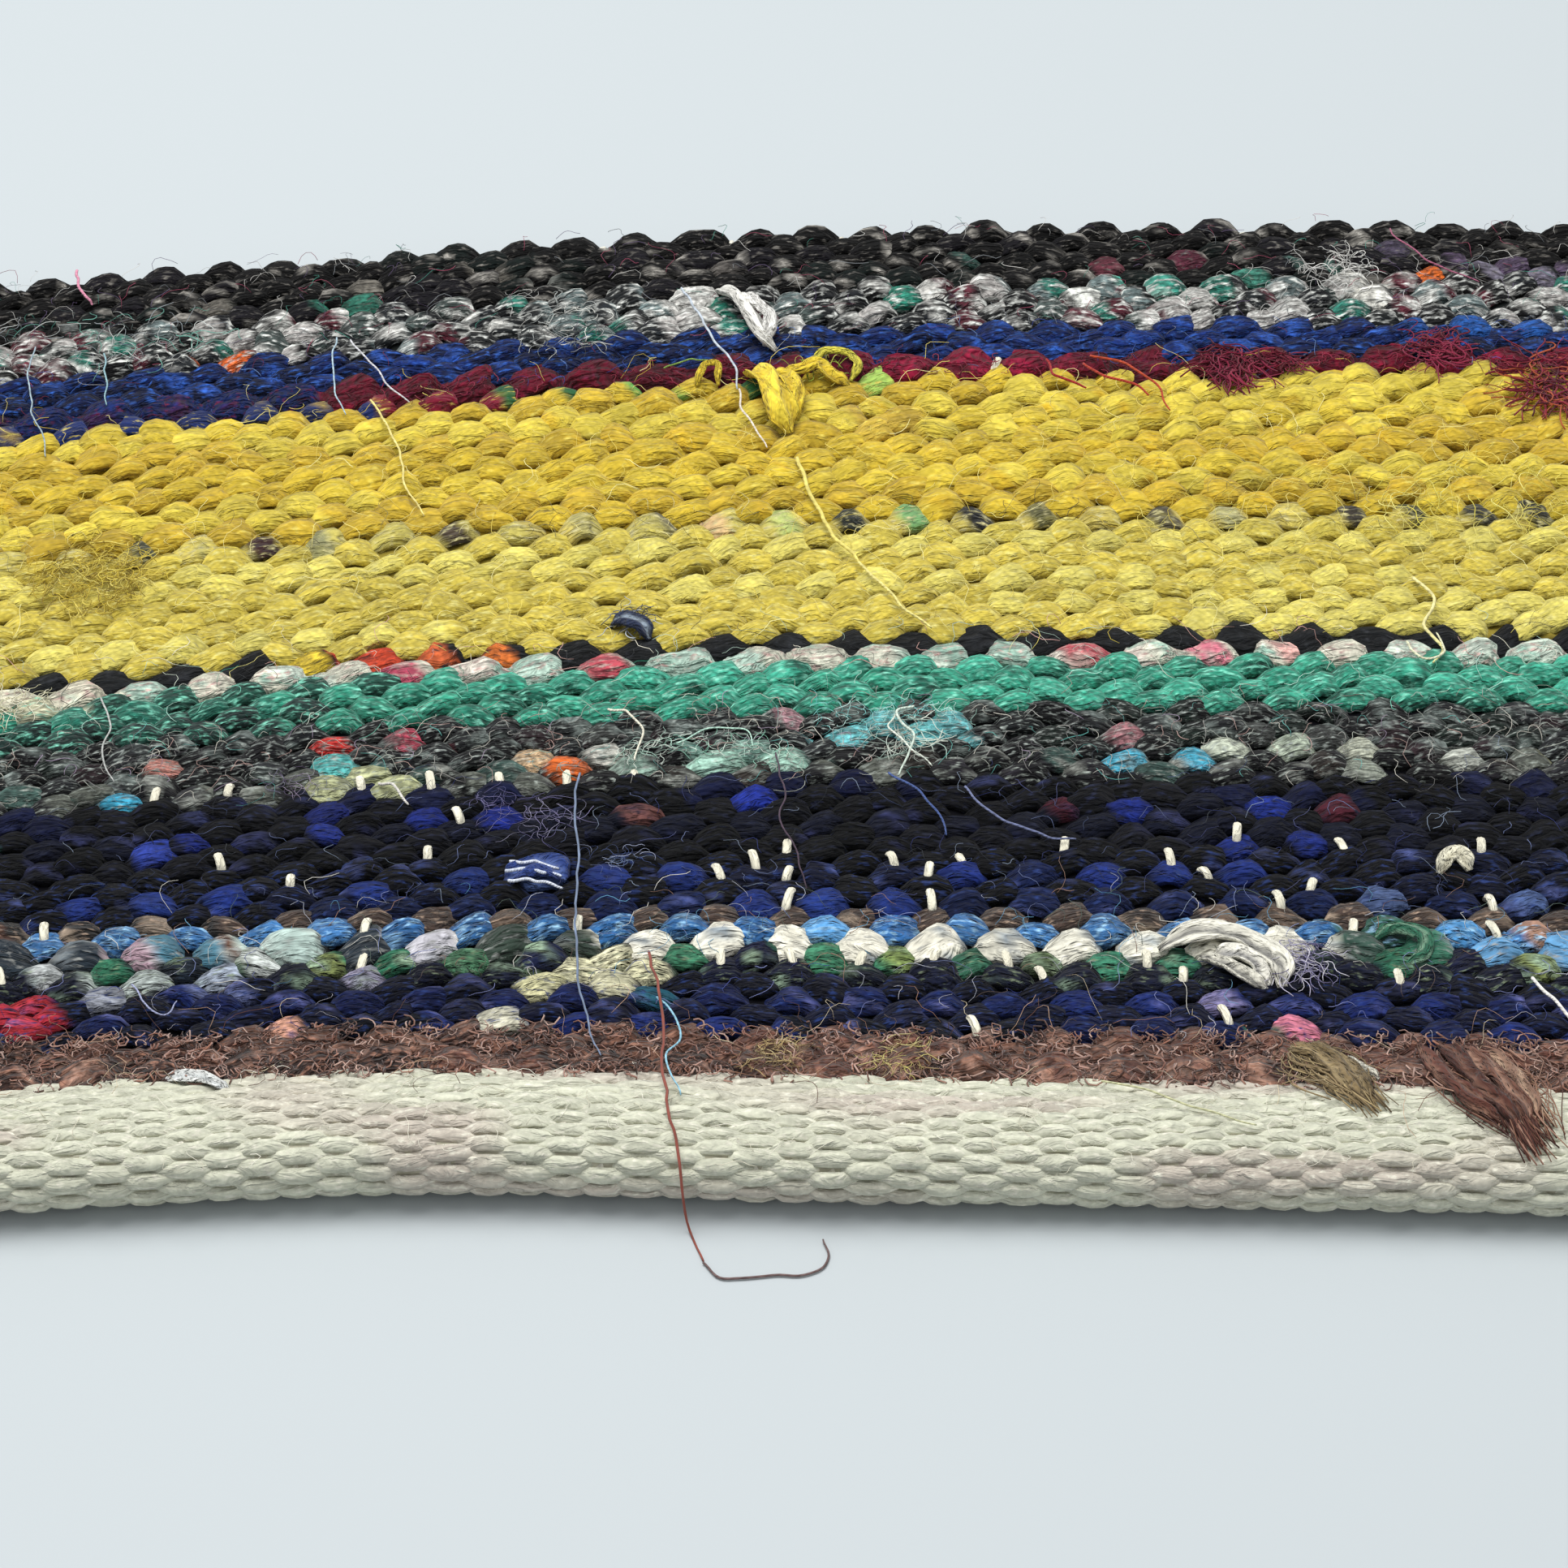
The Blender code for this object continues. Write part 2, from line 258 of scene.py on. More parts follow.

# %% [markdown]
# Where one rag meets another colour
#
# Some places stand out: a red rag at the left, a patch of cream in the green, a sky-blue knot.
# They are laid over the stripe's own rags. Under each stripe stand a row counted from its front,
# where the colour starts and ends along the row, the colour, and how much the rag puffs up there:
# 1 is the stripe's own thickness. A later rag covers an earlier one.

# %% Listed rags
Patch = namedtuple("Patch", "row start end colour puff", defaults=(1.0,))
PATCHES = {
    "navy_rag": (
        (1, -100, -81, "#B8303C", 1.2), (2, -100, -80, "#A82A38", 1.2), (3, -100, -81, "#B8323A", 1.1),
        (0, -57.5, -53, "#D8A088"), (0, -34.5, -29, "#D8D5BE", 1.2), (0, 51.5, 54, "#4A8E68"),
        (0, 54, 59, "#DC8298", 1.15), (2, 45, 50, "#7A749C"), (2, -17, -11, "#24586A"),
        (3, -60, 110, "#070A1A"), (1, -70, 110, "#0A0E26"), (3, -78, -70, "#8E929C"),
        (3, -66, -60, "#6A74A0"), (3, -30, -24, "#DCD8A8", 1.25), (3, -22, -16.5, "#E0DCB8", 1.25),
    ),
    "green_rag": (
        (0, -120, 120, "#0A1026"), (0, -78, -68, "#AEB8B4"), (0, -66, -58, "#9AA4B4"),
        (0, -49, -43, "#A09AB4"), (0, -26, -13, "#DCD8B2", 1.2), (1, -84, -72, "#2C6B50"),
        (1, -84, -78, "#B8BCBC"), (1, -73, -62, "#1A2430"), (1, -61, -54, "#BEC4C0", 1.1),
        (1, -39, -32, "#4A7A5A"), (1, -22, -17, "#E0DCB8", 1.1), (1, -14, -8, "#3C7A5C"),
        (1, 11, 16, "#7A8E50"), (1, 18, 24, "#3A7058"), (1, 26, 31, "#5A6A48"), (1, 33, 47, "#3A7A60"),
        (1, 47.5, 54, "#AAB09C"), (1, 54, 60, "#0A1026"), (1, 66, 72, "#2E6B52", 1.1),
    ),
    "white_rag": (
        (0, -120, -76, "#1E2A34"), (0, -76, -71, "#A48894"), (0, -71, -63, "#4A7C90"),
        (0, -63, -61, "#5A3E30"), (0, -61, -52, "#B4CAC2", 1.1), (0, -52, -44, "#1E2A34"),
        (0, -44, -36.5, "#D4D2DA"), (0, -36, -21, "#2A3A30"), (0, 62, 69, "#2F4A40"),
        (0, 69, 76, "#2F6A54"), (0, 76, 100, "#5C93BE"),
    ),
    "light_blue_rag": (
        (0, 1, 7.5, "#5A9CD4", 1.35), (0, 62, 73, "#2F5E50"), (0, 73, 82, "#4C90C8", 1.15),
        (0, 83, 90, "#A8806A", 1.1),
    ),
    "navy_and_black_rag": (
        (0, -6, -1, "#1A2C6C"), (0, 1.5, 7, "#1E3274", 1.1), (0, 10, 15, "#1A2E70"),
        (0, 65.5, 72, "#5A6E9C"), (0, 82, 88, "#4A5E8C"), (1, -82, -77, "#1C2E70"),
        (1, -74, -69, "#22367C", 1.1), (1, -66, -61, "#1C3078"), (1, -49.5, -44.5, "#1A2C6C"),
        (1, -40, 64, "#08090D"), (2, -39, -33, "#16265C"), (2, -31, -24.5, "#5A70A8", 1.15),
        (2, -24, -15, "#1E3070", 1.45), (2, -14, -9, "#182A68"), (2, 17, 23, "#1C2E74", 1.1),
        (2, 33.5, 39, "#1A2C70"), (2, 42, 47, "#1C3078"), (2, 50, 55.5, "#1A2C70"),
        (3, -100, 60, "#07080C"),
    ),
    "black_rag_low": (
        (0, 50, 55.5, "#1A2A70"), (0, 58.5, 63, "#1B2A70"), (1, -75, -70, "#2A3C90"),
        (2, -70, -64, "#1E2C78"), (2, -55, -50, "#1C2A70"), (3, -100, -92, "#2F7A6C"),
        (3, -44, -38, "#1C2C7C"), (3, -35.5, -30.5, "#1E2C80"), (3, -19, -13, "#6A4440", 1.1),
        (3, 31, 36, "#4A1C28"), (3, 38, 43, "#1A2A78", 1.15), (3, 54, 59.5, "#1E3084", 1.15),
        (3, 62, 67, "#4A1C28"),
    ),
    "black_rag_high": (
        (0, -6, -1, "#22359A"), (0, -56, -50, "#1A2460"),
    ),
    "mixed_short_rag": (
        (0, -80, -74, "#3A9CBC"), (0, -57, -42, "#BCC092", 1.2), (0, 66, 71, "#A8B0A0"),
        (1, -53, -46, "#B0B48A", 1.15), (1, -28, -22.5, "#DC6A2C"), (1, -21, -16, "#A8C8B8"),
        (1, -14, 2, "#A4CCBA", 1.15), (1, 37, 43, "#4FB0CC"), (1, 47, 52, "#4FB0CC"),
        (1, 78, 83, "#C4C8BC"), (1, 91, 99, "#C4C07C"),
    ),
    "grey_marl_rag": (
        (0, -56.5, -48.5, "#5FBCB8", 1.25), (0, -32, -26.5, "#DDBB92"), (0, -23.5, -19, "#DCDACE"),
        (0, -12, 0, "#86AEA0", 1.1), (0, 50, 55, "#C4CCB8"), (0, 57.5, 63, "#B0BCA8"),
        (0, 66, 71, "#C4C8B4"), (1, -76, -70, "#C4867A"), (1, 3, 22, "#70C2C6", 1.2),
        (1, 38.5, 43, "#A87278"), (2, -57, -52, "#C8332E", 1.1), (2, -47, -41, "#B44458"),
        (2, 10, 22, "#78C6CA", 1.15), (3, -1, 3, "#C0929A"),
    ),
    "mint_jersey": (
        (0, -120, -60, "#152E2A"), (1, -120, -52, "#15302C"), (2, -120, -96, "#1E6B58"),
        (2, -88, -62, "#24705E"), (3, -120, -84, "#123A30"), (3, -112, -84, "#D5D2B2", 1.1),
        (3, -84, -44, "#1B4A3E"),
    ),
    "cream_rag": (
        (0, -112, -80, "#E2DCC4", 1.15), (0, -50, -44.5, "#C04A64"), (0, -25, -19, "#B84A56"),
        (0, 34, 42, "#D4606A"), (0, 49.5, 54, "#D8788A"), (0, 60, 65, "#DDA9A0"),
    ),
    "black_rag": (
        (0, -62, -56, "#D9BC3A", 0.9), (0, -55, -47, "#C8482E", 0.75), (0, -45.5, -41, "#D4663A", 0.75),
        (0, -38, -33.5, "#D87434", 0.75),
    ),
    "spotted_rag": (
        (0, -82.5, -79, "#4A4C3A", 0.85), (0, -68, -64, "#3A2020", 0.8),
        (0, -61, -57.6, "#8A8A62", 0.85), (0, -44, -40.6, "#4A3E30", 0.8), (0, -27, -24.6, "#B0A868"),
        (0, -15.5, -12.6, "#5E5A4A", 0.85), (0, -11, -7.6, "#C8A878"), (0, -1.5, 1.5, "#A8B468"),
        (0, 6, 10.4, "#262A26", 0.8), (0, 14.6, 18.2, "#74A468", 0.9), (0, 22.6, 27, "#1E1E1E", 0.8),
        (0, 31, 34.4, "#5E5C34", 0.85), (0, 46.6, 50.6, "#4A4434", 0.8), (0, 54.6, 58.6, "#B4B07A"),
        (0, 70.6, 74.6, "#3A342A", 0.8), (0, 79, 82.6, "#4A4A2A", 0.85), (0, 86.5, 91, "#34342C", 0.85),
        (0, 94, 98.4, "#2A2A22", 0.85),
    ),
    "bright_yellow_rag": (
        (6, 8, 17, "#C8AA3C"), (7, 9, 18, "#C0A23A"), (10, -120, -54, "#0C2158", 0.8),
        (10, -54, -38, "#7C0E2C", 0.8), (10, -32, -7, "#CAAE30", 0.8), (10, -38, -32.5, "#1E5A34", 0.9),
        (10, -29.5, -25, "#1E5A34", 0.9), (10, -20.5, -14, "#74B858", 0.95),
        (10, -6, -2, "#2A6A3A", 0.9), (10, 9, 14, "#A8CC60", 0.95),
    ),
    "dark_red_rag": (
        (0, -120, -62, "#0C2158", 0.8),
    ),
    "royal_blue_rag": (
        (2, 84, 106, "#2458A4"),
    ),
    "grey_mixed_rag": (
        (0, -78, -72, "#E2672A"), (2, -13, -8, "#2F8A74"), (2, 12.5, 18, "#2F8A74"),
        (2, 38.5, 44, "#DADCD4", 1.1), (2, 77, 82, "#E4E2D8", 1.2), (3, 46, 53, "#4AB09A", 1.1),
        (3, 76, 82, "#ECEAE0", 1.3),
    ),
    "black_speckled_rag": (
        (0, 86, 92, "#E2702E"), (0, 96, 106, "#7E7888"), (0, 60, 66, "#3E7A6A"),
        (0, -64, -54, "#2C6656"), (0, -98, -92, "#6E7270"), (1, 42, 48, "#6A3440"),
        (1, 70, 76, "#4A6A62"), (1, 92, 108, "#56485E"), (1, -36, -31, "#5A5C58"),
        (1, -82, -76, "#706C64"), (2, 52, 58, "#5E2A3A"), (2, 24, 29, "#3A5A52"),
        (2, -60, -55, "#6C6860"), (2, -12, -7, "#585450"), (3, 80, 86, "#4E4658"),
        (3, -44, -39, "#6A665E"),
    ),
}
PATCHES = {name: [Patch(*line) for line in lines] for name, lines in PATCHES.items()}
print(sum(len(lines) for lines in PATCHES.values()), "rags placed by hand")


def within(patch, x):
    """1 inside a patch and 0 outside it, with ends that are one millimetre soft."""
    return ease(x, patch.start - 0.5, 1.0) * ease(-x, -patch.end - 0.5, 1.0)


# %% [markdown]
# The colour of a row
#
# A row is one rag after another. The seeded joins say where each rag ends, a cloud prints the second
# colour on it in spots of about two millimetres, and the listed rags come last. A little light
# and dark over all of it keeps any two humps from looking alike.

# %% Dyeing a row
def dye_row(stripe, number, row, x, around):
    """Linear colours over one row: rag after rag in seeded order, then the listed ones."""
    draw = np.random.default_rng(1000 + row)
    joins = [-WIDTH]
    while joins[-1] < WIDTH:
        joins.append(joins[-1] + draw.uniform(*stripe.run))
    rags = tones_of(stripe.rags)
    picks = rags[draw.integers(0, len(rags), len(joins) + 1)]
    colours = picks[np.searchsorted(joins, x)]
    second, share = stripe.print
    mark = cloud(x, around + 50.0 * row, 2.6, 1.5, 10)
    mark = mark + 0.5 * cloud(x, around + 70.0 * row, 1.3, 0.9, 11)
    printed = ease(mark, 0.75 - 1.5 * share, 0.35)[..., None]
    colours = colours * (1 - printed) + tones_of(second) * printed
    for patch in PATCHES.get(stripe.name, ()):
        if patch.row == number:
            cover = within(patch, x)[..., None] * (1 - 0.5 * printed)
            colours = colours + (tones_of(patch.colour) - colours) * cover
    shade = 1 + 0.14 * cloud(x, row * 31.0, 9, 1, 0)
    shade = shade + 0.20 * cloud(x, around + 17.0 * row, 1.5, 1.3, 1)
    return np.clip(colours * shade[..., None], 0, 1)


# %% [markdown]
# From a flat grid to a tube of cloth
#
# A strand starts as a flat grid: one way is its length, the other way goes round it. Each point of
# the grid then moves to its place on the strand, the two long edges meet and are merged, and the
# ends are filled. One grid holds all the strands of a piece, because a thousand small grids would
# take minutes. Its own square map stays with it as `OFBake`, cut into one cell to a strand, so fine
# weave and creases follow the strand wherever it goes.

# %% The map of the strands
LEFT_OVER, ALONG = 0.01, 0.93        # share of a cell's width before the strand, and along it
BELOW, AROUND_IT = 0.04, 0.92        # share of its height below the strand, and round it
END_AT, END_APART = 0.96, 0.025      # where the strand's two filled ends lie in the cell


def place_uvs(mesh, strand, across, columns, count):
    """Gives each strand its own cell of the map, with room at the side for its ends."""
    rows = math.ceil(count / columns)
    corner_vertex = np.empty(len(mesh.loops), np.int32)
    mesh.loops.foreach_get("vertex_index", corner_vertex)
    layer = mesh.uv_layers["OFBake"]
    uvs = np.empty(len(mesh.loops) * 2, np.float32)
    layer.uv.foreach_get("vector", uvs)
    uvs = uvs.reshape(-1, 2)
    cell = strand[corner_vertex]
    uvs[:, 0] = (cell % columns + LEFT_OVER + ALONG * uvs[:, 0]) / columns
    uvs[:, 1] = (cell // columns + BELOW + AROUND_IT * across[corner_vertex]) / rows
    layer.uv.foreach_set("vector", uvs.ravel())


def close_strands(mesh, strand, columns, count, seam):
    """Merges each strand's long edges and fills its two ends."""
    rows = math.ceil(count / columns)
    bm = bmesh.new()
    bm.from_mesh(mesh)
    bm.verts.ensure_lookup_table()
    mark = bm.verts.layers.int.new("strand")
    for vertex, number in zip(bm.verts, strand.tolist()):
        vertex[mark] = number
    bmesh.ops.remove_doubles(bm, verts=[bm.verts[i] for i in seam], dist=1e-8)
    open_edges = [edge for edge in bm.edges if edge.is_boundary]
    ends = bmesh.ops.holes_fill(bm, edges=open_edges, sides=0)["faces"]
    uv = bm.loops.layers.uv["OFBake"]
    seen = {}
    for face in ends:
        number = face.verts[0][mark]
        turn = seen.get(number, 0)
        seen[number] = turn + 1
        centre_u = (number % columns + END_AT + END_APART * (turn % 2)) / columns
        centre_v = (number // columns + 0.5) / rows
        reach = min(0.009 / columns, 0.4 / rows)
        for i, loop in enumerate(face.loops):
            angle = 2 * math.pi * i / len(face.loops)
            loop[uv].uv = (centre_u + reach * math.cos(angle), centre_v + reach * math.sin(angle))
    bmesh.ops.recalc_face_normals(bm, faces=bm.faces)
    bm.verts.layers.int.remove(mark)
    bm.to_mesh(mesh)
    bm.free()


# %% [markdown]
# The strand maker
#
# Everything woven or loose in this cloth goes through this one function. A rag, a warp and a hair
# differ only in their points, their dyes and their cloth. Each call makes one piece, which lies
# with the solid cloth and takes the same kind of material.

# %% The strand maker
def place(name, data):
    """A new object in the scene, for a finished mesh, a lamp or a camera."""
    piece = bpy.data.objects.new(name, data)
    bpy.context.scene.collection.objects.link(piece)
    return piece


def flat_grid(x_segments, y_segments):
    """A bmesh with a flat grid from 0 to 1 both ways and its own square map."""
    bm = bmesh.new()
    bm.loops.layers.uv.new("OFBake")
    bmesh.ops.create_grid(bm, x_segments=x_segments, y_segments=y_segments, size=0.5,
                          matrix=Matrix.Translation((0.5, 0.5, 0)), calc_uvs=True)
    return bm


def add_dye(mesh, tints):
    """Keeps a colour for each vertex in the mesh, for its material to read."""
    layer = mesh.color_attributes.new("dye", "FLOAT_COLOR", "POINT")
    layer.data.foreach_set("color", tints.astype(np.float32).ravel())


def strands(name, points, colours, material, columns=1):
    """A piece of many closed strands. points is strands x steps x places round x 3, in metres.

    colours has one colour for each step, or one for each place round. columns is how many cells
    of the map lie side by side.
    """
    count, steps, around = points.shape[:3]
    last = count * around - 1
    bm = flat_grid(steps - 1, last)
    # The faces between one strand and the next are cut out.
    between = [face for face in bm.faces
               if round(min(v.co.y for v in face.verts) * last) % around == around - 1]
    bmesh.ops.delete(bm, geom=between, context="FACES")
    mesh = bpy.data.meshes.new(name)
    bm.to_mesh(mesh)
    bm.free()
    # Where a vertex lies on the flat grid tells its strand, its step and its place round.
    spots = np.empty(len(mesh.vertices) * 3, np.float32)
    mesh.vertices.foreach_get("co", spots)
    spots = spots.reshape(-1, 3).astype(float)
    step = np.rint(spots[:, 0] * (steps - 1)).astype(int)
    line = np.rint(spots[:, 1] * last).astype(int)
    strand, turn = line // around, line % around
    closed = turn % (around - 1)
    mesh.vertices.foreach_set("co", points[strand, step, closed].astype(np.float32).ravel())
    tint = np.ones((len(strand), 4), np.float32)
    tint[:, :3] = colours[strand, step] if colours.ndim == 3 else colours[strand, step, closed]
    add_dye(mesh, tint)
    place_uvs(mesh, strand, turn / (around - 1), columns, count)
    close_strands(mesh, strand, columns, count, np.flatnonzero(closed == 0))
    mesh.shade_smooth()
    mesh.materials.append(material)
    piece = place(name, mesh)
    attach(piece, "root")
    print(name, count, "strands,", sum(len(p.vertices) - 2 for p in mesh.polygons), "triangles")
    return piece


# %% [markdown]
# Cloth materials
#
# Old cotton is matt. What the eye reads is its creases, its threads and its flecks. Each rag
# material takes its colour from the strand (`dye`, which for the woven rows already holds their
# painted shade) and adds flecks of a second colour, long soft creases along the strand with painted
# shade in them, and the rag's own fine weave. The strand's map is turned into real millimetres
# first, so a crease of 2 mm is 2 mm long on every piece.

# %% Materials
RAG_ROUND = 8.5           # millimetres round a rag strand


def add(tree, kind, settings=None, links=None):
    """Adds one node, with its settings by name or socket and its links by socket."""
    node = tree.nodes.new(kind)
    for key, value in (settings or {}).items():
        if isinstance(key, str) and hasattr(node, key):
            setattr(node, key, value)
        else:
            node.inputs[key].default_value = value
    for key, source in (links or {}).items():
        tree.links.new(source, node.inputs[key])
    return node


def matt(name, roughness, gloss, sheen=0.0):
    """A new matt material: its node tree and its shader."""
    material = bpy.data.materials.new(name)
    material.use_nodes = True
    shader = material.node_tree.nodes["Principled BSDF"]
    shader.inputs["Roughness"].default_value = roughness
    shader.inputs["Specular IOR Level"].default_value = gloss
    shader.inputs["Sheen Weight"].default_value = sheen
    return material, material.node_tree, shader


# %% [markdown]
# What makes cloth look like cloth
#
# Four patterns lie on top of each other, all in real millimetres. Folds are a stretched, slanting
# noise: the rag was twisted as it was wound. Flecks are the second yarn showing. Grit is the dust
# and pilling of an old rug. Jersey adds its rows of small knitted bumps, about 0.6 mm apart as in
# a T-shirt, and a woven rag its ribs.

# %% The patterns of a cloth
FOLD_STRETCH = 0.34       # folds are three times as long as they are wide
FOLD_SLANT = 0.30
WAVE_REPEAT = 0.314       # a wave texture of scale 1 repeats after this much


def folds(tree, real):
    """Long soft creases that slant across the strand, from 0 in a crease to 1 between them."""
    slant = add(tree, "ShaderNodeMapping", {"Scale": (FOLD_STRETCH, 1.0, 1),
                "Rotation": (0, 0, FOLD_SLANT)}, {"Vector": real}).outputs["Vector"]
    noise = add(tree, "ShaderNodeTexNoise", {"Scale": 1.0, "Detail": 3.0, "Roughness": 0.55,
                "Distortion": 0.9}, {"Vector": slant}).outputs["Fac"]
    return add(tree, "ShaderNodeMapRange", {"interpolation_type": "SMOOTHSTEP", "From Min": 0.30,
               "From Max": 0.66}, {"Value": noise}).outputs["Result"]


def flecked(tree, real, dye, fleck, flecks, size):
    """The dye with flecks of a second yarn, each about size wide and twice as long."""
    grain = add(tree, "ShaderNodeMapping", {"Scale": (0.5 / size, 1 / size, 1)},
                {"Vector": real}).outputs["Vector"]
    noise = add(tree, "ShaderNodeTexNoise", {"Scale": 1.0, "Detail": 3.0}, {"Vector": grain})
    least = 0.68 - 0.20 * flecks
    mask = add(tree, "ShaderNodeMapRange", {"From Min": least - 0.08, "From Max": least + 0.08},
               {"Value": noise.outputs["Fac"]}).outputs["Result"]
    return add(tree, "ShaderNodeMix", {"data_type": "RGBA", 7: (*linear(fleck), 1)},
               {0: mask, 6: dye}).outputs[2]


def gritty(tree, real, depth, mottle):
    """The depth of the colour, made lighter and darker in spots of half a millimetre."""
    grit = add(tree, "ShaderNodeTexNoise", {"Scale": 1.9, "Detail": 2.0}, {"Vector": real})
    grit = add(tree, "ShaderNodeMapRange", {"From Min": 0.36, "From Max": 0.66,
               "To Min": 1 - mottle, "To Max": 1 + 0.55 * mottle}, {"Value": grit.outputs["Fac"]})
    return add(tree, "ShaderNodeMath", {"operation": "MULTIPLY"},
               {0: depth, 1: grit.outputs["Result"]}).outputs["Value"]


def knitted(tree, real, depth, bump, stitch, pitch):
    """Jersey: rows of small bumps, pitch apart, with painted shade in the hollow between them and a
    little painted light on the bumps.
    """
    knit = add(tree, "ShaderNodeMapping", {"Scale": (1 / pitch, 1 / pitch, 1),
               "Rotation": (0, 0, 0.6)}, {"Vector": real}).outputs["Vector"]
    dots = add(tree, "ShaderNodeTexVoronoi", {"Scale": 1.0, "Randomness": 0.35},
               {"Vector": knit}).outputs["Distance"]
    # Painted shade between the stitches, and a little painted light on them.
    between = add(tree, "ShaderNodeMapRange", {"From Min": 0.15, "From Max": 0.65, "To Min": 1.06,
                  "To Max": 1 - 1.6 * stitch}, {"Value": dots}).outputs["Result"]
    depth = add(tree, "ShaderNodeMath", {"operation": "MULTIPLY"},
                {0: depth, 1: between}).outputs["Value"]
    bump = add(tree, "ShaderNodeBump", {"Distance": -stitch * MM},
               {"Height": dots, "Normal": bump.outputs["Normal"]})
    return depth, bump


def ribbed(tree, real, bump, rib, pitch):
    """Woven shirting: fine slanting ribs, pitch apart."""
    lines = add(tree, "ShaderNodeMapping", {"Rotation": (0, 0, 1.15)}, {"Vector": real})
    wale = add(tree, "ShaderNodeTexWave", {"Scale": WAVE_REPEAT / pitch, "Distortion": 1.5,
               "Detail": 2.0}, {"Vector": lines.outputs["Vector"]}).outputs["Fac"]
    return add(tree, "ShaderNodeBump", {"Distance": rib * MM},
               {"Height": wale, "Normal": bump.outputs["Normal"]})


# %% A cloth material
def cloth(name, strips, length=WIDTH, around=RAG_ROUND, fleck="#FFFFFF", flecks=0.0,
          fleck_size=0.5, crease=0.5, shade=0.35, mottle=0.0, stitch=0.0, stitch_pitch=0.6,
          rib=0.0, roughness=0.92, sheen=0.12):
    """A matt woven or knitted cloth that follows the strand. Sizes are in millimetres.

    The map's strips are around wide and length long. crease, stitch and rib are how deep those
    patterns are pressed in, shade is how much painted shade darkens a crease, and mottle how blotchy
    the dye.
    """
    material, tree, shader = matt(name, roughness, 0.15, sheen)
    shader.inputs["Sheen Roughness"].default_value = 0.6
    dye = add(tree, "ShaderNodeAttribute", {"attribute_name": "dye"}).outputs["Color"]
    spot = add(tree, "ShaderNodeUVMap", {"uv_map": "OFBake"}).outputs["UV"]
    real = add(tree, "ShaderNodeMapping", {"Scale": (length, strips * around, 1)},
               {"Vector": spot}).outputs["Vector"]
    fold = folds(tree, real)
    colour = flecked(tree, real, dye, fleck, flecks, fleck_size) if flecks else dye
    # Painted shade: the colour is darker in each crease and a little lighter between the creases.
    depth = add(tree, "ShaderNodeMapRange", {"To Min": 1 - shade, "To Max": 1 + 0.25 * shade},
                {"Value": fold}).outputs["Result"]
    if mottle:
        depth = gritty(tree, real, depth, mottle)
    bump = add(tree, "ShaderNodeBump", {"Distance": crease * MM}, {"Height": fold})
    if stitch:
        depth, bump = knitted(tree, real, depth, bump, stitch, stitch_pitch)
    if rib:
        bump = ribbed(tree, real, bump, rib, stitch_pitch)
    tree.links.new(bump.outputs["Normal"], shader.inputs["Normal"])
    shaded = add(tree, "ShaderNodeVectorMath", {"operation": "SCALE"}, {0: colour, 3: depth})
    tree.links.new(shaded.outputs["Vector"], shader.inputs["Base Color"])
    return material


# %% [markdown]
# The path of a rag
#
# The path of each row is worked out first. How far it has got between two warps gives its height, a
# cosine flattened at the top, where the rag lies on the warp. The next row does the opposite,
# because its number is one more. The rag spreads where it lies over a warp, for there its neighbours
# are below, and is squeezed upwards where it crosses between them, so its humps are long.

# %% Paths of the rags
STEPS = 280               # along a row, about one to the millimetre
HUMP = 1.20               # how far a rag's middle climbs above the warps' middle
RAG_HALF = 1.06           # half the thickness of a rag with a loft of 1
REST = 0.05               # the lowest point keeps this far off the floor
Path = namedtuple("Path", "row x y height over half_wide half_thick")


def warp_count(x, y):
    """How many warps lie left of x. It wanders a little, as warps do under a hand-beaten weft."""
    drift = 0.6 * cloud(x, y, 31, 44, 2) + 0.4 * cloud(x, y, 9, 11, 3)
    lean = 2.0 * ease(-x, 8, 12) * ease(y, 40, 25)
    return (x + drift + lean - 0.4) / WARP_PITCH


